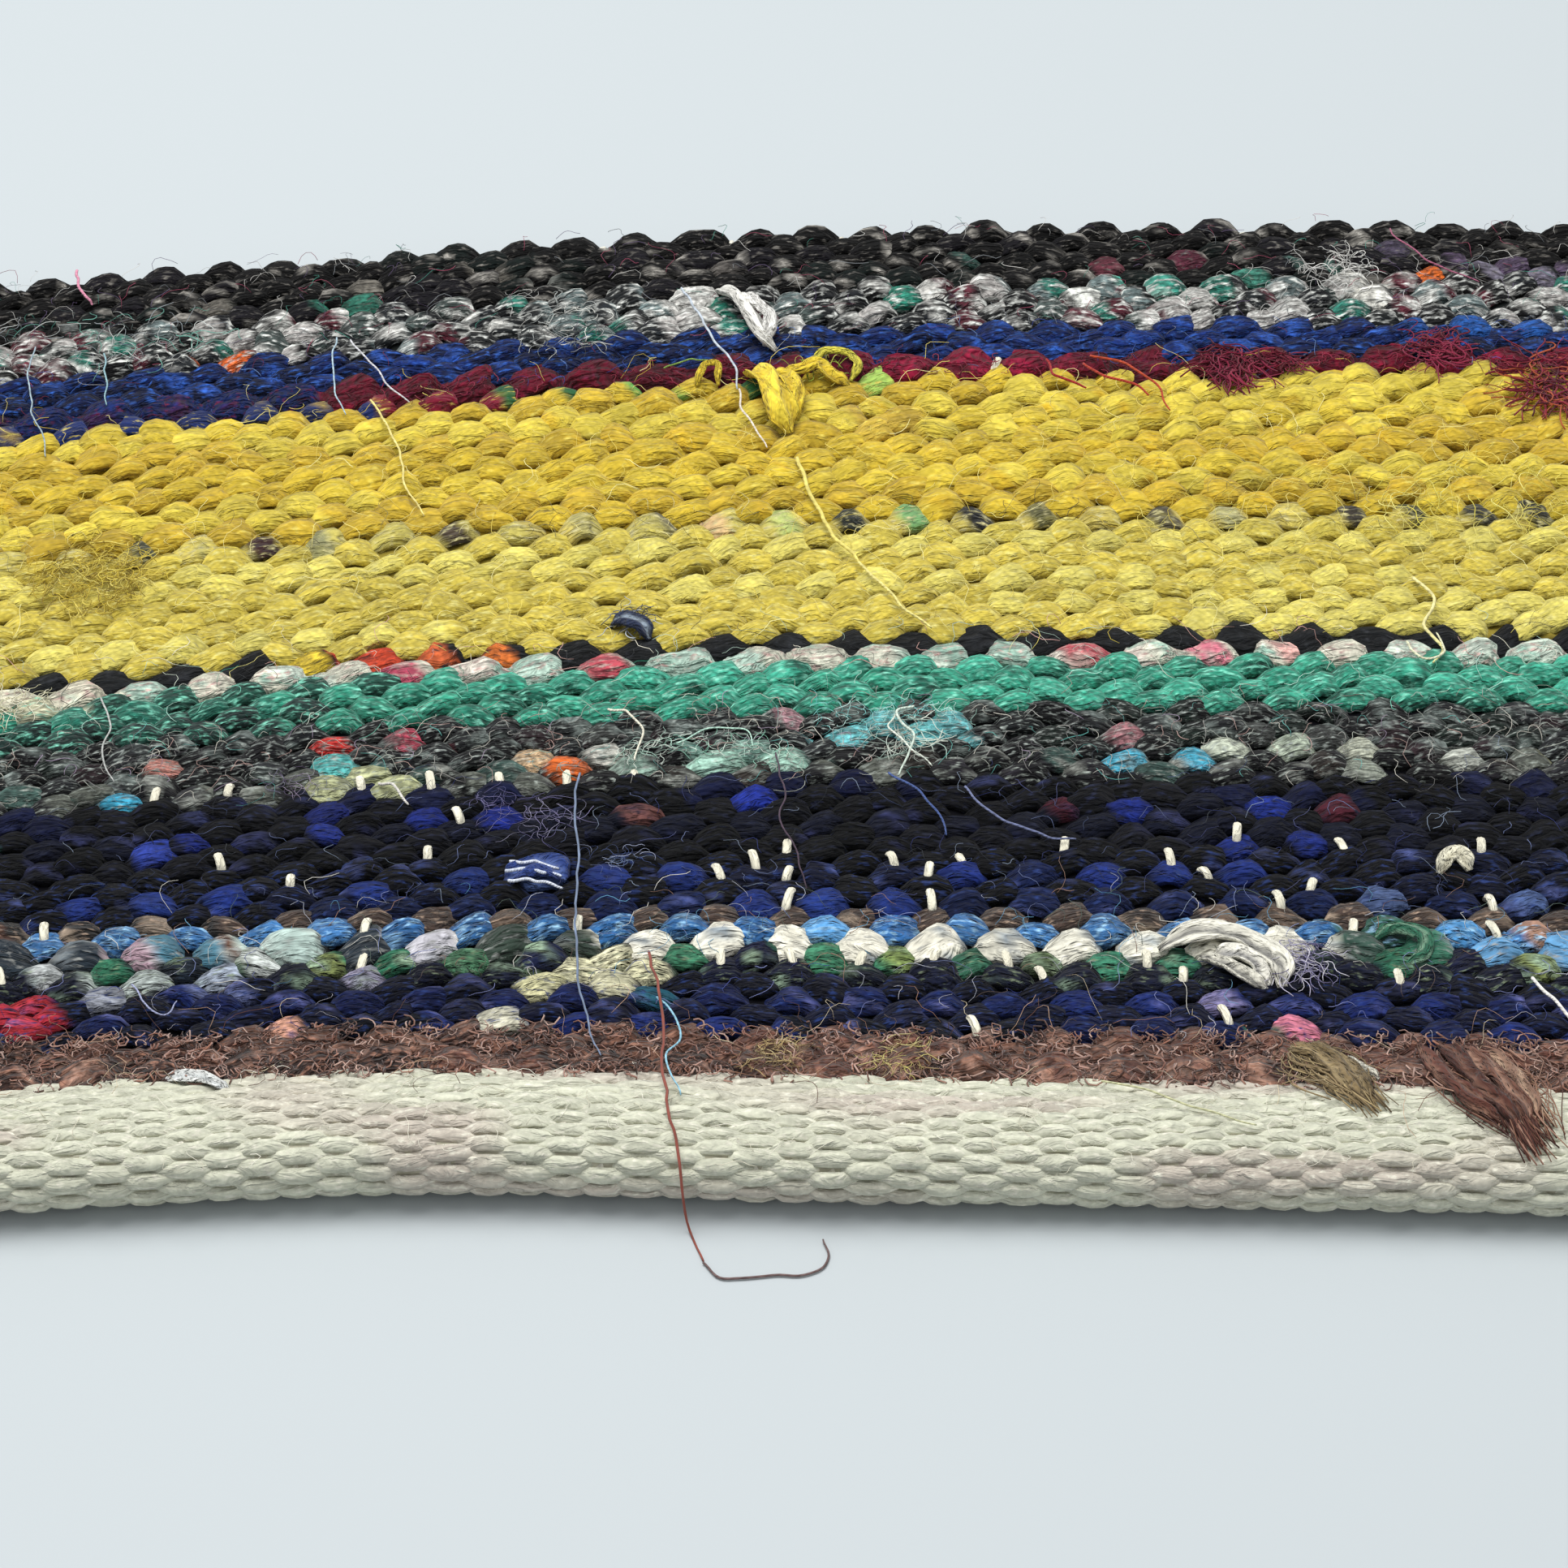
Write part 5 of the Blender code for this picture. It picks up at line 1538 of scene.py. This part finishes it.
def ground():
    """The thin middle sheet, folded with the hem, and its length laid flat in millimetres."""
    hem = path_points(1.0)
    body_y = np.linspace(RAG_START, LENGTH - 1.0, 90)
    y = np.concatenate([hem[:, 0], body_y])
    z = np.concatenate([hem[:, 1], (top_at(body_y) + under_at(body_y)) / 2])
    flat_length = float(np.hypot(np.diff(y), np.diff(z)).sum())
    bm = flat_grid(GROUND_ACROSS, len(y) - 1)
    for vertex in bm.verts:
        number = round(vertex.co.y * (len(y) - 1))
        x = (vertex.co.x - 0.5) * (WIDTH - 1.0)
        vertex.co = Vector(lay(x, y[number], z[number]))
    mesh = bpy.data.meshes.new("ground")
    bmesh.ops.recalc_face_normals(bm, faces=bm.faces)
    bm.to_mesh(mesh)
    bm.free()
    shades = [GROUND_PAINTED_SHADES.get(stripe_at(value), DARK_GAP_SHADE) for value in y]
    tints = np.array([(*linear(shade), 1) for shade in shades])
    number = np.tile(np.arange(len(y)), (GROUND_ACROSS + 1, 1)).T.ravel()
    add_dye(mesh, tints[number])
    mesh.shade_smooth()
    piece = place("ground", mesh)
    in_hem = np.arange(len(y)) < len(hem)
    behind = GROUND_AT_RAMP + (1 - GROUND_AT_RAMP) * ease(y, RAG_START, RAMP)
    thicken(piece, np.where(in_hem, GROUND_IN_HEM, behind)[number])
    return piece, flat_length


def lint_and_shade():
    """Lint and fibre between the strands, with fine specks, coloured with painted shade: a dark tone of
    the stripe it lies under.
    """
    material, tree, shader = matt("lint_fibre_and_painted_shade", 0.95, 0.1)
    spot = add(tree, "ShaderNodeTexCoord").outputs["Object"]
    speck = add(tree, "ShaderNodeTexNoise", {"Scale": SPECKS, "Detail": 3.0}, {"Vector": spot})
    dye = add(tree, "ShaderNodeAttribute", {"attribute_name": "dye"}).outputs["Color"]
    depth = add(tree, "ShaderNodeMapRange", {"To Min": 0.5, "To Max": 1.3},
                {"Value": speck.outputs["Fac"]}).outputs["Result"]
    shaded = add(tree, "ShaderNodeVectorMath", {"operation": "SCALE"}, {0: dye, 3: depth})
    tree.links.new(shaded.outputs["Vector"], shader.inputs["Base Color"])
    bump = add(tree, "ShaderNodeBump", {"Distance": 0.3 * MM}, {"Height": speck.outputs["Fac"]})
    tree.links.new(bump.outputs["Normal"], shader.inputs["Normal"])
    return material


ground_piece, flat_length = ground()
ground_piece.data.materials.append(lint_and_shade())
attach(ground_piece, "root")
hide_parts("rug")
print("ground sheet", WIDTH, "x", round(flat_length, 1), "mm flat")


# %% [markdown]
# The floor
#
# A smooth painted board, pale and a little blue, and much larger than the cloth, so the camera
# sees no edge of it. It is a stage for the cloth and no part of it.

# %% Floor
FLOOR_SIDE = 3.0
bm = bmesh.new()
bmesh.ops.create_grid(bm, x_segments=1, y_segments=1, size=FLOOR_SIDE / 2)
floor_mesh = bpy.data.meshes.new("floor")
bm.to_mesh(floor_mesh)
bm.free()
floor = place("floor", floor_mesh)
board, _, board_shader = matt("painted_board", 0.6, 0.5)
board_shader.inputs["Base Color"].default_value = (*linear("#B1B8BB"), 1)
floor_mesh.materials.append(board)

# %% [markdown]
# The light
#
# One wide soft window, above and a little behind the cloth, so that the humps shade each other on
# the near side, and a room that gives back about as much light from everywhere.

# %% Light
ROOM_LIGHT = 0.60
world = bpy.data.worlds.new("soft_room")
world.use_nodes = True
world.node_tree.nodes["Background"].inputs["Color"].default_value = (0.95, 0.97, 1.0, 1)
world.node_tree.nodes["Background"].inputs["Strength"].default_value = ROOM_LIGHT
bpy.context.scene.world = world


def soft_light(name, spot, target, side, watts, colour):
    """A square soft box at spot, facing target."""
    lamp = bpy.data.lights.new(name, "AREA")
    lamp.size = side
    lamp.energy = watts
    lamp.color = colour
    box = place(name, lamp)
    box.location = spot
    box.rotation_euler = (Vector(target) - Vector(spot)).to_track_quat("-Z", "Y").to_euler()


soft_light("window_above", spot=(-0.15, 0.20, 1.0), target=(0, 0.04, 0), side=0.80, watts=13.0,
           colour=(1.0, 0.995, 0.98))
print("room", ROOM_LIGHT, "and one window")

# %% [markdown]
# The camera
#
# It looks along +Y, 40 degrees down, from about half a metre, at a place past the hem. The lens is
# long, so the far rows are hardly smaller than the near ones.

# %% Camera
VIEW_FROM = 475.0         # from the point looked at, in millimetres
VIEW_DOWN = math.radians(40)
AIM_Y = 66.4              # from the hem's front
AIM_Z = 5.0
SENSOR = 36.0             # millimetres wide
LENS = 92.95              # millimetres, on that sensor

aim = Vector((0, (FRONT_AT + AIM_Y) * MM, AIM_Z * MM))
back = Vector((0, -math.cos(VIEW_DOWN), math.sin(VIEW_DOWN)))
lens = bpy.data.cameras.new("camera")
lens.lens = LENS
lens.sensor_width = SENSOR
lens.clip_start = 0.01
camera = place("camera", lens)
camera.location = aim + back * VIEW_FROM * MM
camera.rotation_euler = (aim - camera.location).to_track_quat("-Z", "Y").to_euler()
bpy.context.scene.camera = camera
bpy.context.scene.view_settings.view_transform = "Standard"
print("camera", VIEW_FROM, "mm away, with a lens of", LENS, "mm")
